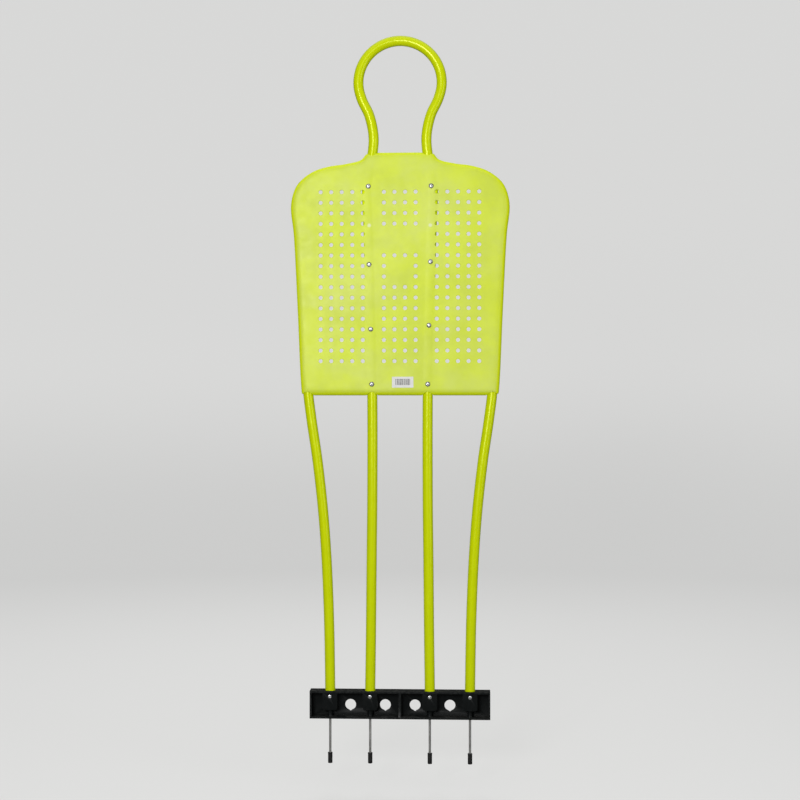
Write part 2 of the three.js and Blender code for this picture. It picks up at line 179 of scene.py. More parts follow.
class MANNEQUIN_PG_tubes(bpy.types.PropertyGroup):
    """Sizes of the bent steel tubes."""

    radius: length("Radius", "Outer radius of the tube", inner_box[1].y)
    sides: IntProperty(name="Sides", description="Sides of a tube's round", default=32, min=8)
    head_radius: length("Head Radius", "Radius of the head loop's middle line", 0.1033)
    head_exit: angle("Head Exit", "How far below its middle the head loop ends", 23.5)
    neck_half: length("Neck Half", "Half spacing of the tube's sides at the neck", 0.0654)
    neck_rise: length("Neck Rise", "Narrowest place of the neck, above the collar", 0.036)
    chest_half: length("Chest Half", "Half spacing behind the top of the panel", 0.082)
    chest_drop: length("Chest Drop", "That place, below the collar", 0.108)
    inner_hem_half: length("Inner Hem Half", "Half spacing of the inner legs at the hem", 0.0689)
    outer_hem_half: length("Outer Hem Half", "Half spacing of the outer legs at the hem", 0.229)
    bead: length("Weld Bead", "Radius of the weld bead where the shoulders meet the neck", 0.0023)


class MANNEQUIN_PG_panel(bpy.types.PropertyGroup):
    """Sizes of the chest panel."""

    wall: length("Wall", "Thickness of the plastic", 0.003)
    rim_radius: length("Rim Radius", "Outer radius of the rolled rim", panel_box[1].y)
    side_swell: length("Side Swell", "How far the rim's line swells past its widest bend", 0.00033)
    shoulder_end: factor("Shoulder End", "Height share of the shoulder tube's end", 0.9615)
    collar_margin: length("Collar Margin", "Collar's corner past the inner tube's middle", 0.0032)
    hem_corner: factor("Hem Corner", "Roundness of the rim's corners at the hem", 0.55)
    collar_corner: factor("Collar Corner", "Roundness of its corners at the collar", 1.0)
    passage: length("Passage", "Gap round a tube where it enters the rim", 0.0021)
    hem_open: length("Hem Open", "That gap's end, below the rim's line at the hem", 0.001)
    collar_open: length("Collar Open", "That gap's end, above the rim's line at the collar", 0.006)
    passage_reach: length("Passage Reach", "How far into the panel the rim is cleared for a tube", 0.03)
    rib_rise: length("Band Rise", "Height of the raised bands over the inner tube", 0.0006)
    rib_half: length("Band Half", "Half width of a raised band", 0.013)
    rib_slope: length("Band Slope", "Width of a band's sloping side", 0.01)
    rib_fade: length("Band Fade", "Length over which a band dies out under the collar", 0.06)
    strip: length("Strip", "Flat strip under the collar, and a band's fade at the hem", 0.012)
    pitch: length("Pitch", "Spacing of the holes", 0.0261)
    hole_radius: length("Hole Radius", "Radius of a hole", 0.005)
    hole_round: length("Hole Round", "Rounding of a hole's edge", 0.0006)
    top_row_drop: length("Top Row Drop", "Highest row of holes, below the collar", 0.099)
    hem_margin: length("Hem Margin", "Least height of the lowest row over the hem", 0.08)
    grid: length("Grid", "Spacing of the mesh on the open face", 0.008)
    dimple_half: length("Dimple Half", "Half spacing of the pale marks on the dimples", 0.0755)
    dimple_height: length("Dimple Height", "Height of the round dimple on each band", 1.2183)
    dimple_radius: length("Dimple Radius", "Radius of the round dimples", 0.0065)
    dimple_depth: length("Dimple Depth", "Depth of the round dimples", 0.0006)
    waves: length("Waves", "Depth of the face's slight waves", 0.00025)
    waves_start: length("Waves Start", "Width beside the rim over which the waves begin", 0.03)


class MANNEQUIN_PG_bar(bpy.types.PropertyGroup):
    """Sizes of the base bar."""

    top_flange: length("Top Flange", "Thickness of the top", 0.005)
    bottom_flange: length("Bottom Flange", "Thickness of the underside", 0.004)
    web: length("Web", "Thickness of the back wall", 0.004)
    end: length("End", "Thickness of the end walls", 0.0045)
    rib: length("Rib", "Thickness of the middle rib", 0.0065)
    boss_width: length("Boss Width", "Width of the block round each leg", 0.036)
    boss_floor: length("Boss Floor", "Height of a block's underside", 0.021)
    boss_recess: length("Boss Recess", "How far the blocks stand back from the front", 0.0015)
    boss_corner: length("Boss Corner", "Radius of a block's lower corners", 0.006)
    sleeve_radius: length("Sleeve Radius", "Radius of the sleeve round each spike", 0.0065)
    pilot_radius: length("Pilot Radius", "Radius of a screw's pilot hole", 0.0024)
    hole_radius: length("Hole Radius", "Radius of a round hole in the web", 0.0135)
    hole_height: length("Hole Height", "Height of the round holes' middle", 0.0295)
    notch: length("Notch", "Depth of the pointed nick under each round hole", 0.0025)
    notch_width: factor("Notch Width", "Half width of that nick, as a share of the hole's radius", 0.25)
    edge: length("Edge", "Rounding of the moulded edges", 0.0007)


class MANNEQUIN_PG_small(bpy.types.PropertyGroup):
    """Sizes of the rivets, screws, spikes, caps and label."""

    rivet_rise: length("Rivet Rise", "Height of a rivet's head", 0.002)
    rivet_shaft: length("Rivet Shaft", "Radius of a rivet's shaft", 0.0024)
    rivet_tail: length("Rivet Tail", "Length of the shaft behind the head", 0.004)
    screw_rise: length("Screw Rise", "Height of a screw's head", 0.0026)
    screw_shaft: length("Screw Shaft", "Radius of a screw's shaft", 0.0021)
    screw_crown: length("Screw Crown", "How far the face of a screw's head bows", 0.0003)
    slot_half_length: length("Slot Half Length", "Half length of a screw's slots", 0.0027)
    slot_half_width: length("Slot Half Width", "Half width of a screw's slots", 0.0006)
    slot_depth: length("Slot Depth", "Depth of a screw's slots", 0.0013)
    slot_start: length("Slot Start", "Where the slots' taper starts, in front of the head", 0.001)
    spike_radius: length("Spike Radius", "Radius of a ground spike", 0.003)
    spike_head: length("Spike Head", "Height of a spike's head", 0.003)
    spike_point: length("Spike Point", "Length of a spike's point", 0.009)
    spike_tip: length("Spike Tip", "Radius of the blunt end of a spike's point", 0.0004)
    spike_round: length("Spike Round", "Rounding above a spike's point", 0.001)
    cap_body: factor("Cap Body", "Radius of a cap under its lip, as a share of the lip's", 0.955)
    cap_bore: length("Cap Bore", "Radius of a cap's bore", 0.0033)
    cap_lip: length("Cap Lip", "Height of a cap's lip", 0.0024)
    cap_foot: length("Cap Foot", "Rounding of a cap's foot", 0.0014)
    cap_ring: length("Cap Ring", "Height of the ring of points round a cap's body", 0.012)
    cap_step: length("Cap Step", "Height of the slope under a cap's lip", 0.001)
    cap_edge: length("Cap Edge", "Rounding of a cap's lip", 0.0007)
    cap_mouth: length("Cap Mouth", "Rounding of the mouth of a cap's bore", 0.0005)
    label_corner: length("Label Corner", "Radius of the label's corners", 0.0015)
    print_rise: length("Print Rise", "How far the printed bars stand out of the label", 0.00002)


class MANNEQUIN_PG_colours(bpy.types.PropertyGroup):
    """Colours of the finishes."""

    panel: colour("Panel", "Plastic of the chest panel", (0.41, 0.482, 0.05))
    # Painted light: a deeper, brighter copy of the plastic's colour, given to the rim where it turns away
    # from the face; it also tints the face's random clouds.
    panel_deep: colour("Panel Deep", "Plastic where it turns away", (0.54, 0.635, 0.0))
    # Partly random tone and partly painted sheen: paler, bluer clouds that lie on the face and fade out on
    # the rim.
    haze: colour("Haze", "Paler clouds in the panel's plastic", (0.48, 0.542, 0.135))
    tube: colour("Tube", "Powder coat of the tubes", (0.46, 0.54, 0.0))
    tube_deep: colour("Tube Deep", "Powder coat in its darker patches", (0.4, 0.48, 0.0))
    # Painted glow: a faint light of the plastic's colour, given off by the panel and the tubes so that they
    # stay bright in shade.
    glow: colour("Glow", "Light that the bright plastic gives back in shade", (0.07, 0.085, 0.0))
    # Painted glow on the tubes behind the panel, standing in for the light that the panel lets through.
    passed: colour("Passed Light", "Light that the panel lets through to the tubes", (0.45, 0.53, 0.01))
    bar: colour("Bar", "Plastic of the base bar", (0.003, 0.004, 0.004))
    bar_worn: colour("Bar Worn", "That plastic where it is rubbed", (0.018, 0.019, 0.019))
    steel: colour("Steel", "Ground spikes", (0.62, 0.62, 0.6))
    steel_dark: colour("Steel Dark", "Darker patches of the spikes", (0.36, 0.35, 0.33))
    zinc: colour("Zinc", "Plated screws", (0.62, 0.63, 0.65))
    zinc_dark: colour("Zinc Dark", "Darker patches of the screws", (0.4, 0.4, 0.42))
    aluminium: colour("Aluminium", "Rivets", (0.6, 0.61, 0.62))
    aluminium_dark: colour("Aluminium Dark", "Darker patches of the rivets", (0.3, 0.3, 0.31))
    # Painted shade: a dark colour on a rivet's head wherever it lies behind the dome's crown, over the lower
    # dome, the flange and the hollow in the middle.
    grime: colour("Grime", "Grime in the grooves of the rivets", (0.11, 0.11, 0.1))
    rubber: colour("Rubber", "Spike caps", (0.003, 0.003, 0.003))
    rubber_bloom: colour("Rubber Bloom", "Greyer patches of the caps", (0.015, 0.015, 0.014))
    paper: colour("Paper", "Label", (0.6, 0.6, 0.585))
    paper_aged: colour("Paper Aged", "Label in its darker patches", (0.5, 0.5, 0.47))
    print: colour("Print", "Bars on the label", (0.05, 0.05, 0.055))
    print_faded: colour("Print Faded", "Those bars where they are faded", (0.16, 0.16, 0.16))
    dust: colour("Dust", "Dust on surfaces that face up", (0.3, 0.29, 0.26))
    backdrop: colour("Backdrop", "Backdrop as the camera sees it", (1, 1, 0.99))
    floor: colour("Floor", "Floor as the camera sees it", (0.86, 0.86, 0.85))
    floor_base: colour("Floor Base", "What floor and backdrop give back of the light", (0.2, 0.2, 0.197))
    air: colour("Air", "Even light from all round", (0.95, 0.97, 1))


class MANNEQUIN_PG_stage(bpy.types.PropertyGroup):
    """Camera, floor and lights."""

    distance: length("Distance", "Camera from the mannequin", 3.55)
    azimuth: angle("Azimuth", "Camera to the right of the front", 2.4)
    eye: length("Eye", "Height of the camera over the bar's underside", 0.7873)
    lens: FloatProperty(name="Lens", description="Focal length in millimetres", default=64.49)
    clearance: length("Clearance", "Height of the caps over the floor", 0.065)
    floor_radius: length("Floor Radius", "Flat part of the floor", 4.6)
    cove_radius: length("Cove Radius", "Round between floor and backdrop", 1.6)
    backdrop: length("Backdrop", "Height of the backdrop", 5.0)
    tone_change: length("Tone Change", "Height over which the floor's tone turns into the backdrop's", 1.2)
    key: power("Key", "Soft light from the front left", 120)
    fill: power("Fill", "Light from the right", 26)
    top: power("Top", "Light from above", 14)
    back: power("Back", "Light from behind", 70)
    air: factor("Air", "Strength of the even light from all round", 0.4)
    lift: factor("Lift", "Light added to the floor where the camera sees it", 0.62)


# Lines of the frame, in its plane: points (x, z)

Lines = namedtuple("Lines", "inner rise outer rim")


def smooth(knots):
    """Points of a smooth line through the knots."""
    knots = np.array(knots, float)
    p = np.vstack([2 * knots[0] - knots[1], knots, 2 * knots[-1] - knots[-2]])
    gaps = np.sqrt(np.linalg.norm(np.diff(p, axis=0), axis=1))
    t = np.linspace(0, 1, BEND_STEPS, endpoint=False)[:, None]
    points = []
    for i in range(1, len(p) - 2):
        before, here, after = gaps[i - 1:i + 2]
        step = p[i + 1] - p[i]
        leave = here * ((p[i] - p[i - 1]) / before - (p[i + 1] - p[i - 1]) / (before + here) + step / here)
        reach = here * (step / here - (p[i + 2] - p[i]) / (here + after) + (p[i + 2] - p[i + 1]) / after)
        points.append(p[i] + leave * t + (3 * step - 2 * leave - reach) * t**2
                      + (leave + reach - 2 * step) * t**3)
    return np.vstack(points + [knots[-1:]])


def even(line, spacing):
    """The same line with points about a spacing apart."""
    along = np.concatenate([[0], np.cumsum(np.linalg.norm(np.diff(line, axis=0), axis=1))])
    places = np.linspace(0, along[-1], max(2, int(round(along[-1] / spacing)) + 1))
    return np.stack([np.interp(places, along, line[:, 0]), np.interp(places, along, line[:, 1])], 1)


def unit(ways):
    return ways / np.linalg.norm(ways, axis=-1, keepdims=True)


def around(sides):
    """Even turns of a round."""
    return np.linspace(0, 2 * pi, sides, endpoint=False)


def between(start, end, shares):
    return [start + (end - start) * np.array([across, up]) for up, across in shares]


def mirrored(line):
    return (line * [-1, 1])[::-1]


def on_line(line, height):
    return np.array([np.interp(height, line[:, 1], line[:, 0]), height])


def middle(node):
    """Where a node's middle lies across and up."""
    low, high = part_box(node)
    return (low.x + high.x) / 2, (low.z + high.z) / 2


def leg_half(leg):
    return middle(f"ground_spike_{leg}")[0]


def frame_lines():
    """The middle lines of the tubes and of the panel's rim, the last three on the right side."""
    tubes, panel = bpy.context.scene.mannequin_tubes, bpy.context.scene.mannequin_panel
    hem, collar = panel_box[0].z, panel_box[1].z
    rim_foot, rim_top = hem + panel.rim_radius, collar - panel.rim_radius
    rim_half = panel_box[1].x - panel.rim_radius - panel.side_swell
    bar_top, tube_foot = bar_box[1].z, inner_box[0].z

    head_height = inner_box[1].z - tubes.radius - tubes.head_radius
    head = np.array(arc(0, head_height, tubes.head_radius, -tubes.head_exit, pi + tubes.head_exit,
                        HEAD_KNOTS - 1))

    foot = np.array([leg_half("inner_right"), bar_top])
    at_hem = np.array([tubes.inner_hem_half, rim_foot])
    chest = np.array([tubes.chest_half, collar - tubes.chest_drop])
    neck = np.array([tubes.neck_half, collar + tubes.neck_rise])
    leg = [foot, *between(foot, at_hem, INNER_LEG_SHARES),
           at_hem, *between(at_hem, chest, INNER_PANEL_SHARES),
           chest, *between(chest, neck, INNER_COLLAR_SHARES),
           neck, *between(neck, head[0], INNER_THROAT_SHARES)]
    down = np.array([[foot[0], tube_foot]])
    inner = np.vstack([down, smooth([*leg, *head, *mirrored(np.array(leg))]), down * [-1, 1]])
    rise = inner[:BEND_STEPS * len(leg) + 2]

    end = on_line(rise, rim_foot + panel.shoulder_end * (rim_top - rim_foot))
    outer_foot = np.array([leg_half("outer_right"), bar_top])
    outer_hem = np.array([tubes.outer_hem_half, rim_foot])
    leg = [outer_foot, *between(outer_foot, outer_hem, OUTER_LEG_SHARES)]
    side = [outer_hem, *(np.array([rim_half * across, rim_foot + up * (rim_top - rim_foot)])
                         for across, up in PANEL_SIDE_SHARES)]
    shoulder = side[-1]
    bends = [*leg, *side, *between(shoulder, end, SHOULDER_BEND_SHARES), end]
    outer = np.vstack([[[outer_foot[0], tube_foot]], smooth(bends)])
    first = BEND_STEPS * len(leg) + 1
    rim_side = outer[first:first + BEND_STEPS * (len(side) - 1) + 1]
    corner = on_line(rise, rim_top) + [panel.collar_margin, 0]
    collar_side = smooth([shoulder, *between(shoulder, corner, COLLAR_SIDE_SHARES), corner])
    return Lines(inner, rise, outer, np.vstack([rim_side, collar_side[1:]]))


# Mesh helpers

class Shape:
    """Points and faces that grow piece by piece."""

    def __init__(self):
        self.points = []
        self.faces = []

    def add(self, points, faces):
        start = len(self.points)
        self.points.extend(tuple(p) for p in points)
        self.faces.extend(tuple(start + i for i in face) for face in faces)
        return self

    def rings(self, rings, closed=False, caps=True):
        """A skin over rings with the same number of points, each ring closed."""
        count, sides = len(rings), len(rings[0])
        faces = []
        for i in range(count if closed else count - 1):
            low, high = i * sides, (i + 1) % count * sides
            faces += [(low + j, low + (j + 1) % sides, high + (j + 1) % sides, high + j)
                      for j in range(sides)]
        if caps and not closed:
            faces += [tuple(range(sides))[::-1], tuple((count - 1) * sides + j for j in range(sides))]
        return self.add([p for ring in rings for p in ring], faces)


def joined(shapes):
    whole = Shape()
    for shape in shapes:
        whole.add(shape.points, shape.faces)
    return whole


def swept_rings(line, radius, sides):
    """Round rings along a line in the frame's plane."""
    ways = unit(np.diff(line, axis=0))
    ways = unit(np.vstack([ways[:1], ways[:-1] + ways[1:], ways[-1:]]))
    side, depth = radius * np.cos(around(sides)), radius * np.sin(around(sides))
    return [np.stack([x + up * side, depth, z - across * side], 1)
            for (x, z), (across, up) in zip(line, ways)]


def turned(profile, axis, place, sides=TURNED_SIDES, caps=True):
    """A turned piece, from radii and places along the axis 'Y' or 'Z'."""
    across, up = np.cos(around(sides)), np.sin(around(sides))
    rings = []
    for radius, along in profile:
        a, b, c = radius * across, radius * up, np.full(sides, along)
        rings.append(np.stack([a, c, b] if axis == "Y" else [a, b, c], 1) + np.array(place))
    return Shape().rings(rings, caps=caps)


def rounded(start, corner, end, steps=4):
    """A profile's corner as a short round from start to end."""
    t = np.linspace(0, 1, steps + 1)[:, None]
    start, corner, end = (np.array(p, float) for p in (start, corner, end))
    return [tuple(p) for p in start * (1 - t)**2 + 2 * corner * t * (1 - t) + end * t**2]


def arc(x, z, radius, start, end, steps):
    """Points (x, z) of an arc round a centre."""
    return [(x + radius * cos(t), z + radius * sin(t)) for t in np.linspace(start, end, steps + 1)]


def prism(outline, back, front):
    """A closed solid from an outline (x, z) between two depths."""
    return Shape().rings([[(x, back, z) for x, z in outline], [(x, front, z) for x, z in outline]])


def block(low, high):
    (x0, y0, z0), (x1, y1, z1) = low, high
    return prism([(x0, z0), (x1, z0), (x1, z1), (x0, z1)], y0, y1)


def new_object(name, shape):
    mesh = bpy.data.meshes.new(name)
    mesh.from_pydata(shape.points, [], shape.faces)
    made = bpy.data.objects.new(name, mesh)
    bpy.context.scene.collection.objects.link(made)
    tidy(mesh)
    return made


def tidy(mesh, dissolve=False):
    """Merges doubled points, joins flat faces if asked, and turns every face outward."""
    work = bmesh.new()
    work.from_mesh(mesh)
    bmesh.ops.remove_doubles(work, verts=work.verts, dist=SAME_POINT)
    if dissolve:
        bmesh.ops.dissolve_limit(work, angle_limit=FLAT_TURN, verts=work.verts, edges=work.edges)
    bmesh.ops.recalc_face_normals(work, faces=work.faces)
    work.to_mesh(mesh)
    work.free()


def closed(mesh):
    """Whether every edge of a mesh joins two faces."""
    uses = np.zeros(len(mesh.loops), dtype=np.int32)
    mesh.loops.foreach_get("edge_index", uses)
    return bool((np.bincount(uses, minlength=len(mesh.edges)) == 2).all())


def combine(piece, shape, operation):
    """Cuts or joins a closed shape, and keeps the result in the piece's mesh."""
    tool = new_object(piece.name + "_tool", shape)
    for solid in (piece, tool):
        if not closed(solid.data):
            raise RuntimeError(f"{solid.name} has an open edge")
    step = piece.modifiers.new("Combine", "BOOLEAN")
    step.operation = operation
    step.solver = "MANIFOLD"
    step.object = tool
    bake(piece)
    bpy.data.objects.remove(tool)


def bake(piece):
    """Turns the piece's modifiers into mesh."""
    seen = piece.evaluated_get(bpy.context.evaluated_depsgraph_get())
    old = piece.data
    piece.data = bpy.data.meshes.new_from_object(seen)
    piece.modifiers.clear()
    bpy.data.meshes.remove(old)


def dress(piece, finish, replaced=None, body="frame", sharp=40):
    """Smooth faces with crisp edges, the finish, and the piece's place on its body."""
    piece.data.shade_smooth()
    piece.data.set_sharp_from_angle(angle=radians(sharp))
    piece.data.materials.clear()
    piece.data.materials.append(finish)
    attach(piece, body)
    if replaced:
        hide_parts(replaced)


# Shader helpers

class Wiring:
    """Adds nodes to one tree and links them."""

    def __init__(self, tree):
        self.tree = tree

    def add(self, kind, values, **settings):
        node = self.tree.nodes.new(kind)
        for name, value in settings.items():
            setattr(node, name, value)
        for key, value in values.items():
            self.put(node.inputs[key], value)
        return node

    def put(self, socket, value):
        if isinstance(value, bpy.types.NodeSocket):
            self.tree.links.new(value, socket)
        else:
            socket.default_value = value

    def place(self):
        return self.add("ShaderNodeTexCoord", {}).outputs["Object"]

    def scaled(self, place, scale):
        return self.add("ShaderNodeMapping", {"Vector": place, "Scale": scale}).outputs[0]

    def noise(self, place, scale, detail, roughness):
        return self.add("ShaderNodeTexNoise", {
            "Vector": place, "Scale": scale, "Detail": detail, "Roughness": roughness}).outputs["Fac"]

    def math(self, operation, a, b=0.0):
        return self.add("ShaderNodeMath", {0: a, 1: b}, operation=operation).outputs[0]

    def plus(self, a, b):
        return self.math("ADD", a, b)

    def times(self, *values):
        product = values[0]
        for value in values[1:]:
            product = self.math("MULTIPLY", product, value)
        return product

    def mix(self, share, a, b):
        return self.add("ShaderNodeMix", {0: share, 6: a, 7: b}, data_type="RGBA").outputs[2]

    def map(self, value, low, high, to_low=0.0, to_high=1.0):
        ends = {"From Min": low, "From Max": high, "To Min": to_low, "To Max": to_high}
        return self.add("ShaderNodeMapRange", {"Value": value, **ends},
                        interpolation_type="SMOOTHSTEP").outputs[0]

    def axis(self, vector, axis):
        return self.add("ShaderNodeSeparateXYZ", {0: vector}).outputs[axis]

    def group(self, tree, **values):
        return self.add("ShaderNodeGroup", {name.title(): value for name, value in values.items()},
                        node_tree=tree).outputs

    def bump(self, height, depth, strength):
        return self.add("ShaderNodeBump", {
            "Height": height, "Distance": depth, "Strength": strength}).outputs[0]


SOCKET_KINDS = {"Colour": "NodeSocketColor", "Other": "NodeSocketColor", "Stretch": "NodeSocketVector"}


def effect(build, inputs, outputs):
    """The node group that a function wires, made the first time it is asked for."""
    name = build.__name__.replace("_", " ").title()
    tree = bpy.data.node_groups.get(name)
    if tree:
        return tree
    tree = bpy.data.node_groups.new(name, "ShaderNodeTree")
    for way, labels in (("INPUT", inputs), ("OUTPUT", outputs)):
        for label in labels:
            kind = SOCKET_KINDS.get(label, "NodeSocketFloat")
            tree.interface.new_socket(label, in_out=way, socket_type=kind)
    w = Wiring(tree)
    entry, leave = w.add("NodeGroupInput", {}), w.add("NodeGroupOutput", {})
    for label, value in build(w, entry.outputs).items():
        w.put(leave.inputs[label], value)
    return tree


def mottle(w, given):
    """Soft clouds between two shades."""
    clouds = w.noise(w.place(), given["Scale"], 4, 0.6)
    share = w.times(w.map(clouds, 0.35, 0.68), given["Amount"])
    return {"Colour": w.mix(share, given["Colour"], given["Other"])}


def grain(w, given):
    """Fine skin of a moulded or coated surface: its height, and a roughness that follows it."""
    place = w.place()
    fine = w.noise(place, given["Scale"], 2, 0.5)
    broad = w.noise(place, w.times(given["Scale"], 0.06), 3, 0.5)
    spread = w.times(w.math("SUBTRACT", broad, 0.5), given["Spread"])
    return {"Height": w.plus(w.times(fine, 0.6), w.times(broad, 0.4)),
            "Roughness": w.plus(given["Roughness"], spread)}


def scuffs(w, given):
    """Thin scratches that run along one axis, in patches."""
    place = w.place()
    lines = w.noise(w.scaled(place, given["Stretch"]), 1.0, 2, 0.4)
    patches = w.noise(place, 14.0, 2, 0.5)
    return {"Mask": w.times(w.map(lines, 0.66, 0.72), w.map(patches, 0.45, 0.7), given["Amount"])}


def dust(w, given):
    """Dust that settles on what faces up."""
    up = w.axis(w.add("ShaderNodeNewGeometry", {}).outputs["Normal"], 2)
    clouds = w.map(w.noise(w.place(), given["Scale"], 5, 0.65), 0.35, 0.75)
    return {"Mask": w.times(w.map(up, 0.3, 0.95), clouds, given["Amount"])}


def edge_wear(w, given):
    """Edges that are rubbed brighter or duller."""
    sharpness = w.add("ShaderNodeNewGeometry", {}).outputs["Pointiness"]
    broken = w.noise(w.place(), given["Scale"], 4, 0.6)
    return {"Mask": w.times(w.map(sharpness, 0.51, 0.58), w.map(broken, 0.4, 0.6), given["Amount"])}


def new_finish(name, constants):
    """A material with constant values on its shader, and the wiring of the rest."""
    finish = bpy.data.materials.new(name)
    finish.use_nodes = True
    shader = finish.node_tree.nodes["Principled BSDF"]
    for label, value in constants.items():
        shader.inputs[label].default_value = value
    return finish, Wiring(finish.node_tree), shader.inputs


def skin(w, shader, tone, scale, roughness, spread, depth, strength, marks=None):
    """Links a tone, and the roughness and bump of a fine grain with its marks."""
    tree = effect(grain, ("Scale", "Roughness", "Spread"), ("Height", "Roughness"))
    fine = w.group(tree, scale=scale, roughness=roughness, spread=spread)
    w.put(shader["Base Color"], tone)
    w.put(shader["Roughness"], w.plus(fine["Roughness"], marks) if marks else fine["Roughness"])
    w.put(shader["Normal"], w.bump(fine["Height"], depth, strength))


def clouded(w, tone, other, scale, amount):
    tree = effect(mottle, ("Colour", "Other", "Scale", "Amount"), ("Colour",))
    return w.group(tree, colour=tone, other=other, scale=scale, amount=amount)["Colour"]


def scuffed(w, stretch, amount):
    tree = effect(scuffs, ("Stretch", "Amount"), ("Mask",))
    return w.group(tree, stretch=stretch, amount=amount)["Mask"]


def worn(w, scale, amount):
    tree = effect(edge_wear, ("Scale", "Amount"), ("Mask",))
    return w.group(tree, scale=scale, amount=amount)["Mask"]


def dusted(w, scale, amount):
    tree = effect(dust, ("Scale", "Amount"), ("Mask",))
    return w.group(tree, scale=scale, amount=amount)["Mask"]


def panel_finish():
    colours, sizes = bpy.context.scene.mannequin_colours, bpy.context.scene.mannequin_panel
    # Painted glow: the panel gives off a faint yellow light all over.
    finish, w, shader = new_finish("Moulded Yellow Plastic", {
        "Specular IOR Level": 0.22, "Specular Tint": (0.95, 1.0, 0.62, 1), "Emission Strength": 1.0,
        "Emission Color": colours.glow})
    face = -sizes.rim_radius
    # Painted light: from the face into the rolled rim the colour turns to its deeper, brighter copy, and the
    # face's pale clouds fade out.
    rim_light_mask = w.map(w.axis(w.place(), 1), face + 0.00015, face + 0.006)
    base = w.mix(rim_light_mask, colours.panel, colours.panel_deep)
    # Painted sheen, with random tone: the paler clouds cover the face only.
    hazy_sheen = clouded(w, base, colours.haze, scale=7.0, amount=w.map(rim_light_mask, 0.0, 0.5, 0.6, 0.0))
    cloudy = clouded(w, hazy_sheen, colours.panel_deep, scale=16.0, amount=0.35)
    across = w.math("ABSOLUTE", w.axis(w.place(), 0))
    place = w.add("ShaderNodeCombineXYZ", {0: across, 2: w.axis(w.place(), 2)}).outputs[0]
    away = w.add("ShaderNodeVectorMath", {0: place, 1: (sizes.dimple_half, 0, sizes.dimple_height)},
                 operation="DISTANCE").outputs["Value"]
    pale = w.map(away, 0.3 * sizes.dimple_radius, sizes.dimple_radius, 0.6, 0.0)
    settled = dusted(w, scale=30.0, amount=0.1)
    tone = w.mix(settled, w.mix(pale, cloudy, colours.paper), colours.dust)
    skin(w, shader, tone, scale=900.0, roughness=0.44, spread=0.25, depth=0.0002, strength=0.6,
         marks=scuffed(w, stretch=(900.0, 900.0, 45.0), amount=0.25))
    return finish


def tube_finish():
    """Powder coat with a painted glow, stronger behind the panel where it stands in for the light that the
    panel lets through.
    """
    colours, sizes = bpy.context.scene.mannequin_colours, bpy.context.scene.mannequin_panel
    # Painted glow: the tubes give off a faint light all over.
    finish, w, shader = new_finish("Yellow Powder Coat", {
        "Specular IOR Level": 0.5, "Specular Tint": (0.95, 1.0, 0.3, 1), "Emission Strength": 0.5})
    height, fade, reach = w.axis(w.place(), 2), 0.02, sizes.passage_reach
    low, high = panel_box[0].z + reach, panel_box[1].z - reach
    front = w.map(w.axis(w.place(), 1), -0.01, 0.0, 1.0, 0.0)
    behind = w.times(w.map(height, low, low + fade), w.map(height, high - fade, high, 1.0, 0.0), front)
    # Painted glow: faint all over the tubes, brighter on their fronts behind the panel.
    w.put(shader["Emission Color"], w.mix(behind, colours.glow, colours.passed))
    cloudy = clouded(w, colours.tube, colours.tube_deep, scale=25.0, amount=0.3)
    tone = w.mix(dusted(w, scale=60.0, amount=0.15), cloudy, colours.dust)
    skin(w, shader, tone, scale=1400.0, roughness=0.24, spread=0.2, depth=0.0002, strength=0.5,
         marks=scuffed(w, stretch=(700.0, 700.0, 60.0), amount=0.3))
    return finish


def bar_finish():
    colours = bpy.context.scene.mannequin_colours
    finish, w, shader = new_finish("Black Moulded Plastic", {"Specular IOR Level": 0.14})
    rubbed = w.math("MAXIMUM", worn(w, scale=120.0, amount=0.5),
                    scuffed(w, stretch=(60.0, 900.0, 900.0), amount=0.6))
    settled = dusted(w, scale=110.0, amount=0.08)
    tone = w.mix(settled, w.mix(rubbed, colours.bar, colours.bar_worn), colours.dust)
    skin(w, shader, tone, scale=1600.0, roughness=0.4, spread=0.3, depth=0.00015, strength=0.7,
         marks=w.times(settled, 0.6))
    return finish


def metal_finish(name, tone, dark, stretch, roughness, scale, dome_front=None):
    """A bare or plated metal, drawn along one axis, with painted shade on all that lies behind a dome's front
    if that depth is given.
    """
    finish, w, shader = new_finish(name, {"Metallic": 1.0})
    shade = clouded(w, tone, dark, scale, amount=0.5)
    # Painted shade: a millimetre behind the dome's front the rivet turns dark, so only the crown keeps the
    # bright metal.
    if dome_front is not None:
        deep = w.map(w.axis(w.place(), 1), dome_front + 0.0003, dome_front + 0.001)
        shade = w.mix(deep, shade, bpy.context.scene.mannequin_colours.grime)
    skin(w, shader, shade, scale=2500.0, roughness=roughness, spread=0.3, depth=0.0001, strength=0.5,
         marks=scuffed(w, stretch, amount=0.5))
    return finish


def rubber_finish():
    colours = bpy.context.scene.mannequin_colours
    finish, w, shader = new_finish("Cap Rubber", {"Specular IOR Level": 0.35})
    cloudy = clouded(w, colours.rubber, colours.rubber_bloom, scale=160.0, amount=0.6)
    tone = w.mix(dusted(w, scale=200.0, amount=0.3), cloudy, colours.dust)
    skin(w, shader, tone, scale=3000.0, roughness=0.5, spread=0.2, depth=0.0001, strength=0.6)
    return finish


def paper_finish():
    colours = bpy.context.scene.mannequin_colours
    finish, w, shader = new_finish("Label Paper", {"Specular IOR Level": 0.35})
    tone = clouded(w, colours.paper, colours.paper_aged, scale=60.0, amount=0.4)
    skin(w, shader, tone, scale=4000.0, roughness=0.55, spread=0.2, depth=0.00005, strength=0.6)
    return finish


def print_finish():
    colours = bpy.context.scene.mannequin_colours
    finish, w, shader = new_finish("Label Print", {"Specular IOR Level": 0.3})
    tone = clouded(w, colours.print, colours.print_faded, scale=400.0, amount=0.7)
    skin(w, shader, tone, scale=4000.0, roughness=0.6, spread=0.2, depth=0.00005, strength=0.5)
    return finish


# Chest panel

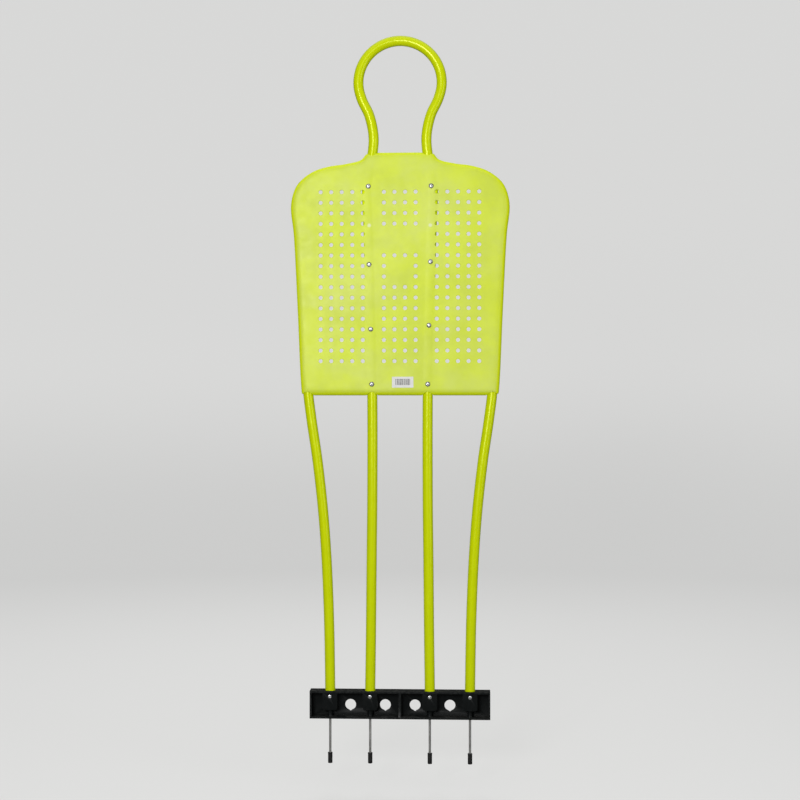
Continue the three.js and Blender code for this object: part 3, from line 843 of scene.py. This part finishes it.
def panel_loop(lines, panel):
    """The rim's closed line, anticlockwise from the front, starting at the right end of the hem."""
    side = even(lines.rim, panel.grid)
    top = even(np.array([side[-1], side[-1] * [-1, 1]]), panel.grid)
    bottom = even(np.array([side[0] * [-1, 1], side[0]]), panel.grid)
    return np.vstack([side, top[1:-1], mirrored(side), bottom[1:-1]])


def hole_centres(panel):
    """Middles of the holes, in rows from the top."""
    top, hem = panel_box[1].z - panel.top_row_drop, panel_box[0].z
    rows = int((top - hem - panel.hem_margin) / panel.pitch + SAME_POINT) + 1
    centres = []
    for row in range(1, rows + 1):
        for column in HOLE_COLUMNS:
            blank = column < 2 and row in BLANK_ROWS or column < 1 and row in FRAMED_ROWS
            if not blank:
                height = top - (row - 1) * panel.pitch
                centres += [(-column * panel.pitch, height), (column * panel.pitch, height)]
    return np.array(centres)


def inside(points, loop):
    """Which points lie inside a closed line."""
    x, z = points[:, 0][:, None], points[:, 1][:, None]
    a, b = loop, np.roll(loop, -1, axis=0)
    spans = (a[:, 1] > z) != (b[:, 1] > z)
    with np.errstate(divide="ignore", invalid="ignore"):
        crossing = a[:, 0] + (z - a[:, 1]) * (b[:, 0] - a[:, 0]) / (b[:, 1] - a[:, 1])
    return (spans & (x < crossing)).sum(1) % 2 == 1


def nearest(points, others):
    """Each point's distance to the nearest of the others."""
    return np.sqrt(((points[:, None] - others[None]) ** 2).sum(2)).min(1)


def eased(share):
    """A share held between 0 and 1 and slowed at both ends."""
    share = np.clip(share, 0, 1)
    return share * share * (3 - 2 * share)


def relief(points, lines, panel):
    """How far the face stands out of its flat: bands over the inner tube, dimples and slight waves."""
    x, z = np.abs(points[:, 0]), points[:, 1]
    foot, top = lines.rim[0, 1], lines.rim[-1, 1]
    away = np.abs(x - np.interp(z, lines.rise[:, 1], lines.rise[:, 0]))
    band = panel.rib_rise * eased((panel.rib_half - away) / panel.rib_slope)
    band *= eased(np.minimum((z - foot) / panel.strip, (top - z - panel.strip) / panel.rib_fade))
    clouds = np.array([noise.noise(Vector((px * WAVE_SCALE, WAVE_SLICE, pz * WAVE_SCALE)))
                       for px, pz in points])
    loop = np.vstack([lines.rim, mirrored(lines.rim)])
    margin = np.clip(nearest(points, even(loop, TUBE_STEP)) / panel.waves_start, 0, 1)
    out = np.hypot(away, z - panel.dimple_height) / panel.dimple_radius
    dimple = panel.dimple_depth * np.clip(1 - out**2, 0, 1)
    return band - dimple - panel.waves * (1 + clouds) / 2 * margin


def hole_ring(centre, radius):
    return centre + np.array(arc(0, 0, radius, 0, 2 * pi, HOLE_SIDES)[:-1])


def panel_sheet(lines, panel, loop, centres):
    """The face as flat triangles, with two rings of points round every hole."""
    lip = panel.hole_radius + panel.hole_round
    lips = [hole_ring(centre, lip) for centre in centres]
    aprons = [hole_ring(centre, lip + panel.hole_round) for centre in centres]

    low, high = loop.min(0), loop.max(0)
    across = np.arange(low[0], high[0], panel.grid)
    up = np.arange(low[1], high[1], panel.grid)
    grid = np.array([(x + (i % 2) * panel.grid / 2, z) for i, z in enumerate(up) for x in across])
    heights = np.arange(lines.rim[0, 1] + FINE_STEP, lines.rim[-1, 1] - RIM_MARGIN, TUBE_STEP)
    rise = np.interp(heights, lines.rise[:, 1], lines.rise[:, 0])
    band = np.array([(side * (x + reach * panel.rib_half), z) for side in (-1, 1) for reach in BAND_SHARES
                     for x, z in zip(rise, heights)])
    away = np.abs(np.abs(grid[:, 0]) - np.interp(grid[:, 1], lines.rise[:, 1], lines.rise[:, 0]))
    free = np.vstack([grid[away > GRID_SHARE * panel.rib_half], band])
    free = free[inside(free, loop)]
    edge = even(np.vstack([loop, loop[:1]]), FINE_STEP)
    free = free[(nearest(free, edge) > RIM_MARGIN) & (nearest(free, centres) > lip + HOLE_MARGIN)]

    points = [Vector(p) for p in np.vstack([loop, *lips, *aprons, free])]
    edges = [(i, (i + 1) % len(loop)) for i in range(len(loop))]
    for start in range(len(loop), len(loop) + len(lips) * HOLE_SIDES, HOLE_SIDES):
        edges += [(start + i, start + (i + 1) % HOLE_SIDES) for i in range(HOLE_SIDES)]
    flat, _, faces, *_ = delaunay_2d_cdt(points, edges, [], 0, SAME_POINT / 10)
    flat, faces = np.array([tuple(p) for p in flat]), np.array([tuple(face) for face in faces])
    middles = flat[faces].mean(1)
    kept = inside(middles, loop) & (nearest(middles, centres) > lip * cos(pi / HOLE_SIDES) - SAME_POINT)
    return flat, faces[kept]


def hole_walls(shape, flat, centres, front, back, panel):
    """The walls of the holes, with rounded edges, down from the points of the face round each hole."""
    drop = panel.hole_round
    for centre in centres:
        edge = hole_ring(centre, panel.hole_radius + drop)
        face = front[((flat[:, None] - edge) ** 2).sum(2).argmin(0)]
        steps = [(share, face + down * drop) for share, down in HOLE_FACE_SHARES]
        steps += [(share, np.full(HOLE_SIDES, back - up * drop)) for share, up in HOLE_BACK_SHARES]
        rings = []
        for share, depth in steps:
            x, z = hole_ring(centre, panel.hole_radius + share * drop).T
            rings.append(np.stack([x, depth, z], 1))
        shape.rings(rings, caps=False)


def rolled_rim(shape, loop, panel):
    """The rim rolled back round the outer tube, with a rounded lip behind."""
    outer, inner = panel.rim_radius, panel.rim_radius - panel.wall
    section = arc(0, 0, outer, -pi / 2, pi / 2, RIM_STEPS)
    section += arc(0, (outer + inner) / 2, panel.wall / 2, pi / 2, 3 * pi / 2, LIP_STEPS)[1:-1]
    section += arc(0, 0, inner, pi / 2, -pi / 2, RIM_STEPS)
    columns = []
    for i, place in enumerate(loop):
        come, go = unit(place - loop[i - 1]), unit(loop[(i + 1) % len(loop)] - place)
        before, after = np.array([come[1], -come[0]]), np.array([go[1], -go[0]])
        mitre = (before + after) / (1 + before @ after)
        turn = atan2(come[0] * go[1] - come[1] * go[0], come @ go)
        ways = [mitre]
        if turn > CORNER_TURN:
            start = atan2(before[1], before[0])
            share = panel.hem_corner if place[1] < loop[:, 1].mean() else panel.collar_corner
            steps = np.linspace(start, start + turn, CORNER_STEPS + 1)
            ways = [(1 - share) * mitre + share * np.array([cos(a), sin(a)]) for a in steps]
        columns += [[(place[0] + way[0] * d, y, place[1] + way[1] * d) for d, y in section] for way in ways]
    shape.rings(list(zip(*columns)), caps=False)


def stretch(line, low, high):
    """The part of a line between two heights."""
    step = even(line, FINE_STEP)
    return step[(step[:, 1] > low) & (step[:, 1] < high)]


def tube_passages(lines, tubes, panel):
    """Bars that clear the tubes' way through the rolled rim."""
    foot, top = lines.rim[0, 1], lines.rim[-1, 1]
    below, above = foot - 2 * panel.rim_radius, top + 2 * panel.rim_radius
    close, open_way = tubes.radius + GAP, tubes.radius + panel.passage
    parts = [(stretch(lines.rise, below, foot - panel.hem_open), open_way),
             (stretch(lines.outer, below, foot - panel.hem_open), open_way),
             (stretch(lines.rise, top + panel.collar_open, above), open_way),
             (stretch(lines.rise, below, foot + panel.passage_reach), close),
             (stretch(lines.outer, below, foot + panel.passage_reach), close),
             (stretch(lines.rise, top - panel.passage_reach, above), close),
             (even(lines.outer, TUBE_STEP)[-NECK_POINTS:], close)]
    return [Shape().rings(swept_rings(part * [side, 1], radius, tubes.sides))
            for part, radius in parts for side in (1, -1)]


class MANNEQUIN_OT_chest_panel(bpy.types.Operator):
    """Builds the perforated chest panel with its rolled rim"""

    bl_idname = "mannequin.chest_panel"
    bl_label = "Chest Panel"

    def execute(self, context):
        panel, tubes = context.scene.mannequin_panel, context.scene.mannequin_tubes
        lines = frame_lines()
        loop = panel_loop(lines, panel)
        centres = hole_centres(panel)
        flat, faces = panel_sheet(lines, panel, loop, centres)
        front = -panel.rim_radius - relief(flat, lines, panel)
        front[nearest(flat, loop) < SAME_POINT] = -panel.rim_radius
        back = panel.wall - panel.rim_radius
        shape = Shape()
        shape.add([(x, y, z) for (x, z), y in zip(flat, front)], faces)
        shape.add([(x, back, z) for x, z in flat], faces[:, ::-1])
        hole_walls(shape, flat, centres, front, back, panel)
        rolled_rim(shape, loop, panel)
        piece = new_object("perforated_panel", shape)
        for bar in tube_passages(lines, tubes, panel):
            combine(piece, bar, "DIFFERENCE")
        dress(piece, panel_finish(), "chest_panel", sharp=50)
        return {"FINISHED"}


# Tubes

def saddle(line, post, radius, sides):
    """Where a tube's skin meets the round post that it runs into, as a closed ring."""
    end = line[-1]
    i = np.abs(post[:, 1] - end[1]).argmin()
    way, axis = (unit(np.array([x, 0, z])) for x, z in (end - line[-3], post[i + 1] - post[i - 1]))
    turns = around(sides)[:, None]
    offsets = radius * (np.cos(turns) * [way[2], 0, -way[0]] + np.sin(turns) * [0, 1, 0])
    across = offsets - (offsets @ axis)[:, None] * axis
    slope = way - (way @ axis) * axis
    a, b, c = slope @ slope, across @ slope, (across**2).sum(1) - radius**2
    reach = (-b - np.sqrt(np.maximum(b * b - a * c, 0))) / a
    return np.array([end[0], 0, end[1]]) + offsets + reach[:, None] * way


def weld_bead(ring, radius):
    """A rippled bead along a closed ring, thin where the panel lies close in front."""
    ways = unit(np.roll(ring, -1, axis=0) - np.roll(ring, 1, axis=0))
    outs = ring - ring.mean(0)
    outs = unit(outs - (outs * ways).sum(1)[:, None] * ways)
    full = np.clip((ring[:, 1] - BEAD_DEPTH) / BEAD_FADE, 0, 1)
    ripple = 1 + RIPPLE_SHARE * np.cos(2 * pi * np.arange(len(ring)) / RIPPLE_POINTS)
    sizes = radius * (BEAD_THIN_SHARE + (1 - BEAD_THIN_SHARE) * full) * ripple
    turns = around(BEAD_SIDES)[:, None]
    rings = [place + size * (np.cos(turns) * out + np.sin(turns) * np.cross(way, out))
             for place, size, out, way in zip(ring, sizes, outs, ways)]
    return Shape().rings(rings, closed=True)


class MANNEQUIN_OT_frame_tubes(bpy.types.Operator):
    """Builds the bent frame tubes and the welds at the neck"""

    bl_idname = "mannequin.frame_tubes"
    bl_label = "Frame Tubes"

    def execute(self, context):
        tubes = context.scene.mannequin_tubes
        lines = frame_lines()
        finish = tube_finish()
        rings = swept_rings(even(lines.inner, TUBE_STEP), tubes.radius, tubes.sides)
        inner = new_object("bent_inner_tube", Shape().rings(rings))
        dress(inner, finish, "inner_frame_tube")
        line = even(lines.outer, TUBE_STEP)
        away = np.linalg.norm(line - line[-1], axis=1)
        rings = swept_rings(line[away > END_SHARE * tubes.radius], tubes.radius, tubes.sides)
        rings.append(saddle(line, lines.rise, tubes.radius, tubes.sides))
        bead = saddle(line, lines.rise, tubes.radius, BEAD_POINTS)
        for side, name in ((-1, "left"), (1, "right")):
            flip = np.array([side, 1, 1])
            tube = new_object(f"bent_outer_tube_{name}", Shape().rings([ring * flip for ring in rings]))
            dress(tube, finish, f"outer_tube_{name}")
            weld = new_object(f"neck_weld_{name}", weld_bead(bead * flip, tubes.bead))
            dress(weld, finish, sharp=80)
        return {"FINISHED"}


# Base bar

def boss_outline(x, bar):
    """The front of the block round a leg, with rounded lower corners."""
    half, top = bar.boss_width / 2, bar_box[1].z - bar.top_flange / 2
    radius, level = bar.boss_corner, bar.boss_floor + bar.boss_corner
    return [(x + half, top), (x - half, top),
            *arc(x - half + radius, level, radius, pi, 1.5 * pi, CORNER_STEPS),
            *arc(x + half - radius, level, radius, -pi / 2, 0, CORNER_STEPS)]


def nicked_circle(x, bar):
    """A round hole with a pointed nick at its foot."""
    nick = bar.hole_radius * bar.notch_width
    outline = []
    for px, pz in arc(0, 0, bar.hole_radius, 0, 2 * pi, WINDOW_SIDES)[:-1]:
        if pz < 0 and abs(px) < nick:
            pz = min(pz, -bar.hole_radius - bar.notch * (1 - abs(px) / nick))
        outline.append((x + px, bar.hole_height + pz))
    return outline


def rods(places, radius, start, end, sides=TURNED_SIDES, axis="Z"):
    """Round rods of one size along an axis, one at each place."""
    return joined([turned([(radius, start), (radius, end)], axis, place, sides) for place in places])


class MANNEQUIN_OT_base_bar(bpy.types.Operator):
    """Builds the moulded base bar"""

    bl_idname = "mannequin.base_bar"
    bl_label = "Base Bar"

    def execute(self, context):
        bar, tubes = context.scene.mannequin_bar, context.scene.mannequin_tubes
        small = context.scene.mannequin_small
        (x0, y0, z0), (x1, y1, z1) = bar_box
        feet = [leg_half(leg) for leg in LEGS]
        inner, outer = feet[2:]
        over = bar.web
        boss_front, boss_back, web_front = y0 + bar.boss_recess, y1 - bar.web / 2, y1 - bar.web
        piece = new_object("moulded_bar", block(*bar_box))
        combine(piece, block((x0 + bar.end, y0 - over, z0 + bar.bottom_flange),
                             (x1 - bar.end, web_front, z1 - bar.top_flange)), "DIFFERENCE")
        blocks = [prism(boss_outline(x, bar), boss_front, boss_back) for x in feet]
        blocks.append(block((-bar.rib / 2, boss_front, bar.bottom_flange / 2),
                            (bar.rib / 2, boss_back, z1 - bar.top_flange / 2)))
        combine(piece, joined(blocks), "UNION")
        upright = [(x, 0, 0) for x in feet]
        sleeves = rods(upright, bar.sleeve_radius, bar.bottom_flange / 2, bar.boss_floor + over)
        combine(piece, sleeves, "UNION")
        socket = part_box("ground_spike_inner_right")[1].z - small.spike_head
        at_screws = [(x, 0, middle("base_screw_inner_right")[1]) for x in feet]
        windows = [side * half for side in (-1, 1) for half in (inner / 2, (inner + outer) / 2)]
        for space in (rods(upright, tubes.radius + GAP, socket, z1 + over),
                      rods(upright, small.spike_radius + GAP, z0 - over, socket + over, HOLE_SIDES),
                      rods(at_screws, bar.pilot_radius, y0 - over, 0, HOLE_SIDES, "Y"),
                      joined([prism(nicked_circle(x, bar), web_front - over, y1 + over) for x in windows])):
            combine(piece, space, "DIFFERENCE")
        tidy(piece.data, dissolve=True)
        rounding = piece.modifiers.new("Edges", "BEVEL")
        rounding.width = bar.edge
        rounding.segments = 2
        rounding.limit_method = "ANGLE"
        rounding.angle_limit = EDGE_TURN
        bake(piece)
        dress(piece, bar_finish(), "base_bar")
        return {"FINISHED"}


# Fasteners, spikes and label

def turned_piece(name, node, axis, profile, sides=TURNED_SIDES):
    """A piece turned about the middle of its node."""
    x, z = middle(node)
    return new_object(name, turned(profile, axis, (x, 0, z if axis == "Y" else 0), sides))


class MANNEQUIN_OT_panel_rivets(bpy.types.Operator):
    """Builds the domed blind rivets of the panel"""

    bl_idname = "mannequin.panel_rivets"
    bl_label = "Panel Rivets"

    def execute(self, context):
        colours, small = context.scene.mannequin_colours, context.scene.mannequin_small
        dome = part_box(f"panel_rivet_{RIVETS[0]}")[0].y
        finish = metal_finish("Rivet Aluminium", colours.aluminium, colours.aluminium_dark,
                              stretch=(2000.0, 2000.0, 2000.0), roughness=0.42, scale=300.0, dome_front=dome)
        for rivet in RIVETS:
            low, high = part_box(f"panel_rivet_{rivet}")
            radius, seat = (high.x - low.x) / 2, low.y + small.rivet_rise
            shaft, tail = small.rivet_shaft, seat + small.rivet_tail

            def head(across, down):
                return across * radius, low.y + down * small.rivet_rise

            profile = [head(0, 0.7), head(0.12, 0.7), head(0.2, 1),
                       *rounded(head(0.2, 0.15), head(0.2, 0), head(0.26, 0)),
                       *rounded(head(0.28, 0), head(0.7, 0.1), head(0.72, 0.75), 9),
                       head(0.73, 0.85), head(0.77, 0.85),
                       *rounded(head(0.79, 0.65), head(0.8, 0.6), head(0.83, 0.6), 3),
                       *rounded(head(0.9, 0.62), head(1, 0.66), head(1, 0.95), 4),
                       head(0.98, 1), (shaft, seat), (shaft, tail), (0, tail)]
            piece = turned_piece(f"domed_rivet_{rivet}", f"panel_rivet_{rivet}", "Y", profile, HEAD_SIDES)
            dress(piece, finish, f"panel_rivet_{rivet}", sharp=55)
        return {"FINISHED"}


class MANNEQUIN_OT_base_screws(bpy.types.Operator):
    """Builds the pan head screws of the base bar"""

    bl_idname = "mannequin.base_screws"
    bl_label = "Base Screws"

    def execute(self, context):
        colours, small = context.scene.mannequin_colours, context.scene.mannequin_small
        finish = metal_finish("Zinc Plate", colours.zinc, colours.zinc_dark,
                              stretch=(2000.0, 2000.0, 2000.0), roughness=0.28, scale=260.0)
        for leg in LEGS:
            low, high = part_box(f"base_screw_{leg}")
            radius, seat = (high.x - low.x) / 2, low.y + small.screw_rise
            crown, shaft = small.screw_crown, small.screw_shaft
            profile = [(0, low.y), (0.45 * radius, low.y + 0.13 * crown),
                       *rounded((0.6 * radius, low.y + crown / 3), (0.97 * radius, low.y + crown),
                                (radius, seat - 2 * crown), 6),
                       (0.99 * radius, seat), (shaft, seat), (shaft, high.y), (0, high.y)]
            piece = turned_piece(f"pan_screw_{leg}", f"base_screw_{leg}", "Y", profile, HEAD_SIDES)
            x, z = middle(f"base_screw_{leg}")
            wide, narrow = small.slot_half_length, small.slot_half_width
            ends = ((1, low.y - small.slot_start), (SLOT_FLOOR_SHARE, low.y + small.slot_depth))
            for half_x, half_z in ((wide, narrow), (narrow, wide)):
                corners = ((-half_x, -half_z), (half_x, -half_z), (half_x, half_z), (-half_x, half_z))
                rings = [[(x + share * across, y, z + share * up) for across, up in corners]
                         for share, y in ends]
                combine(piece, Shape().rings(rings), "DIFFERENCE")
            dress(piece, finish, f"base_screw_{leg}", sharp=35)
        return {"FINISHED"}


class MANNEQUIN_OT_ground_spikes(bpy.types.Operator):
    """Builds the ground spikes"""

    bl_idname = "mannequin.ground_spikes"
    bl_label = "Ground Spikes"

    def execute(self, context):
        colours, small = context.scene.mannequin_colours, context.scene.mannequin_small
        finish = metal_finish("Drawn Steel", colours.steel, colours.steel_dark,
                              stretch=(1600.0, 1600.0, 40.0), roughness=0.34, scale=90.0)
        for leg in LEGS:
            low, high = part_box(f"ground_spike_{leg}")
            head, shank, turn = (high.x - low.x) / 2, small.spike_radius, small.spike_round
            point, seat = low.z + small.spike_point, high.z - small.spike_head
            profile = [(0, low.z), (small.spike_tip, low.z + 0.75 * small.spike_tip),
                       *rounded((0.9 * shank, point - 0.8 * turn), (shank, point), (shank, point + turn), 3),
                       *((shank, z) for z in np.linspace(point + TUBE_STEP, seat, SHANK_RINGS)),
                       *rounded((0.9 * head, seat), (head, seat), (head, seat + turn / 2), 3),
                       (head, high.z), (0, high.z)]
            piece = turned_piece(f"steel_spike_{leg}", f"ground_spike_{leg}", "Z", profile)
            dress(piece, finish, f"ground_spike_{leg}")
        return {"FINISHED"}


class MANNEQUIN_OT_spike_caps(bpy.types.Operator):
    """Builds the rubber caps over the spikes' points"""

    bl_idname = "mannequin.spike_caps"
    bl_label = "Spike Caps"

    def execute(self, context):
        small = context.scene.mannequin_small
        finish = rubber_finish()
        for leg in LEGS:
            low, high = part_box(f"spike_cap_{leg}")
            radius, bore = (high.x - low.x) / 2, small.cap_bore
            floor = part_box(f"ground_spike_{leg}")[0].z - GAP
            body, under = radius * small.cap_body, high.z - small.cap_lip
            foot, step, edge, mouth = small.cap_foot, small.cap_step, small.cap_edge, small.cap_mouth
            profile = [(0, low.z), *rounded((body - foot, low.z), (body, low.z), (body, low.z + foot), 5),
                       (body, low.z + small.cap_ring),
                       *rounded((body, under - step), (body, under - step / 5), (radius, under), 3),
                       *rounded((radius, high.z - edge), (radius, high.z), (radius - edge, high.z)),
                       *rounded((bore + mouth, high.z), (bore, high.z), (bore, high.z - mouth), 3),
                       (bore, floor), (0, floor)]
            piece = turned_piece(f"rubber_cap_{leg}", f"spike_cap_{leg}", "Z", profile)
            dress(piece, finish, f"spike_cap_{leg}", body=f"cap_{leg}", sharp=60)
        return {"FINISHED"}


class MANNEQUIN_OT_label(bpy.types.Operator):
    """Builds the paper label with its printed bars"""

    bl_idname = "mannequin.label"
    bl_label = "Label"

    def execute(self, context):
        small = context.scene.mannequin_small
        low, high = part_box("label")
        corner, raised = small.label_corner, small.print_rise
        left, right, foot, top = low.x + corner, high.x - corner, low.z + corner, high.z - corner
        outline = []
        for i, (x, z) in enumerate(((right, top), (left, top), (left, foot), (right, foot))):
            outline += arc(x, z, corner, i * pi / 2, (i + 1) * pi / 2, LABEL_STEPS)
        piece = new_object("paper_label", prism(outline, low.y + raised, high.y))
        dress(piece, paper_finish(), "label")
        width, height = high.x - low.x, high.z - low.z
        x = low.x + BAR_START_SHARE * width
        bars = []
        for bar, gap in LABEL_BAR_SHARES:
            bars.append(block((x, low.y, low.z + BAR_FOOT_SHARE * height),
                              (x + bar * width, low.y + 2 * raised, high.z - BAR_TOP_SHARE * height)))
            x += (bar + gap) * width
        printed = new_object("label_bars", joined(bars))
        dress(printed, print_finish())
        return {"FINISHED"}


# Stage

def floor_finish():
    """A pale matt paper, lifted evenly where the camera sees it so that the backdrop stays pale."""
    colours, stage = bpy.context.scene.mannequin_colours, bpy.context.scene.mannequin_stage
    finish, w, shader = new_finish("Studio Floor", {
        "Roughness": 0.9, "Specular IOR Level": 0.0, "Emission Strength": stage.lift,
        "Base Color": colours.floor_base})
    seen = w.add("ShaderNodeLightPath", {}).outputs["Is Camera Ray"]
    height = w.map(w.axis(w.place(), 2), cad_box[0].z, cad_box[0].z + stage.tone_change)
    tone = w.mix(height, colours.floor, colours.backdrop)
    w.put(shader["Emission Color"], w.mix(seen, (0, 0, 0, 1), tone))
    return finish


def soft_light(name, place, size, watts):
    light = bpy.data.lights.new(name, "AREA")
    light.shape = "RECTANGLE"
    light.size, light.size_y = size
    light.energy = watts
    made = bpy.data.objects.new(name, light)
    made.location = place
    made.rotation_euler = (Vector(LIGHT_TARGET) - Vector(place)).to_track_quat("-Z", "Y").to_euler()
    made.visible_camera = False
    bpy.context.scene.collection.objects.link(made)
    return made


class MANNEQUIN_OT_stage(bpy.types.Operator):
    """Builds the pale floor and backdrop, the soft lights and the camera"""

    bl_idname = "mannequin.stage"
    bl_label = "Stage"

    def execute(self, context):
        stage, colours = context.scene.mannequin_stage, context.scene.mannequin_colours
        floor, cove = cad_box[0].z - stage.clearance, stage.cove_radius
        profile = [(0, floor), *arc(stage.floor_radius, floor + cove, cove, -pi / 2, 0, COVE_STEPS)]
        profile.append((stage.floor_radius + cove, floor + stage.backdrop))
        bowl = new_object("studio_floor", turned(profile, "Z", (0, 0, 0), BOWL_SIDES, caps=False))
        bowl.data.flip_normals()
        bowl.data.shade_smooth()
        bowl.data.materials.append(floor_finish())

        for name, (place, size) in LIGHT_SIZES.items():
            light = soft_light(f"{name}_light", place, size, getattr(stage, name))
            light.visible_glossy = name != "back"

        world = context.scene.world or bpy.data.worlds.new("Studio")
        context.scene.world = world
        world.use_nodes = True
        air = world.node_tree.nodes["Background"].inputs
        air["Color"].default_value = colours.air
        air["Strength"].default_value = stage.air

        camera = bpy.data.cameras.new("photo_camera")
        camera.sensor_width = FILM_WIDTH
        camera.lens = stage.lens
        camera.clip_end = SIGHT
        made = bpy.data.objects.new("photo_camera", camera)
        made.location = (stage.distance * sin(stage.azimuth), -stage.distance * cos(stage.azimuth), stage.eye)
        made.rotation_euler = (pi / 2, 0, stage.azimuth)
        context.scene.collection.objects.link(made)
        context.scene.camera = made
        context.scene.view_settings.view_transform = "Standard"
        return {"FINISHED"}


SETTINGS = {
    "mannequin_tubes": MANNEQUIN_PG_tubes,
    "mannequin_panel": MANNEQUIN_PG_panel,
    "mannequin_bar": MANNEQUIN_PG_bar,
    "mannequin_small": MANNEQUIN_PG_small,
    "mannequin_colours": MANNEQUIN_PG_colours,
    "mannequin_stage": MANNEQUIN_PG_stage,
}
OPERATORS = (
    MANNEQUIN_OT_chest_panel,
    MANNEQUIN_OT_frame_tubes,
    MANNEQUIN_OT_base_bar,
    MANNEQUIN_OT_panel_rivets,
    MANNEQUIN_OT_base_screws,
    MANNEQUIN_OT_ground_spikes,
    MANNEQUIN_OT_spike_caps,
    MANNEQUIN_OT_label,
    MANNEQUIN_OT_stage,
)


class MANNEQUIN_PT_pieces(bpy.types.Panel):
    """Lists the pieces, and the sizes and colours that they are built from"""

    bl_idname = "MANNEQUIN_PT_pieces"
    bl_label = "Free Kick Mannequin"
    bl_space_type = "VIEW_3D"
    bl_region_type = "UI"
    bl_category = "Mannequin"

    def draw(self, context):
        for operator in OPERATORS:
            self.layout.operator(operator.bl_idname)
        for name, settings in SETTINGS.items():
            rows = self.layout.box().column()
            rows.label(text=settings.__doc__)
            for size in settings.__annotations__:
                rows.prop(getattr(context.scene, name), size)


def register():
    for settings in SETTINGS.values():
        bpy.utils.register_class(settings)
    for operator in OPERATORS:
        bpy.utils.register_class(operator)
    bpy.utils.register_class(MANNEQUIN_PT_pieces)
    for name, settings in SETTINGS.items():
        setattr(bpy.types.Scene, name, PointerProperty(type=settings))


def unregister():
    for name in SETTINGS:
        delattr(bpy.types.Scene, name)
    bpy.utils.unregister_class(MANNEQUIN_PT_pieces)
    for kind in (*reversed(OPERATORS), *reversed(SETTINGS.values())):
        bpy.utils.unregister_class(kind)


def main():
    register()
    bpy.ops.mannequin.chest_panel()
    bpy.ops.mannequin.frame_tubes()
    bpy.ops.mannequin.base_bar()
    bpy.ops.mannequin.panel_rivets()
    bpy.ops.mannequin.base_screws()
    bpy.ops.mannequin.ground_spikes()
    bpy.ops.mannequin.spike_caps()
    bpy.ops.mannequin.label()
    bpy.ops.mannequin.stage()


if __name__ == "__main__":
    main()
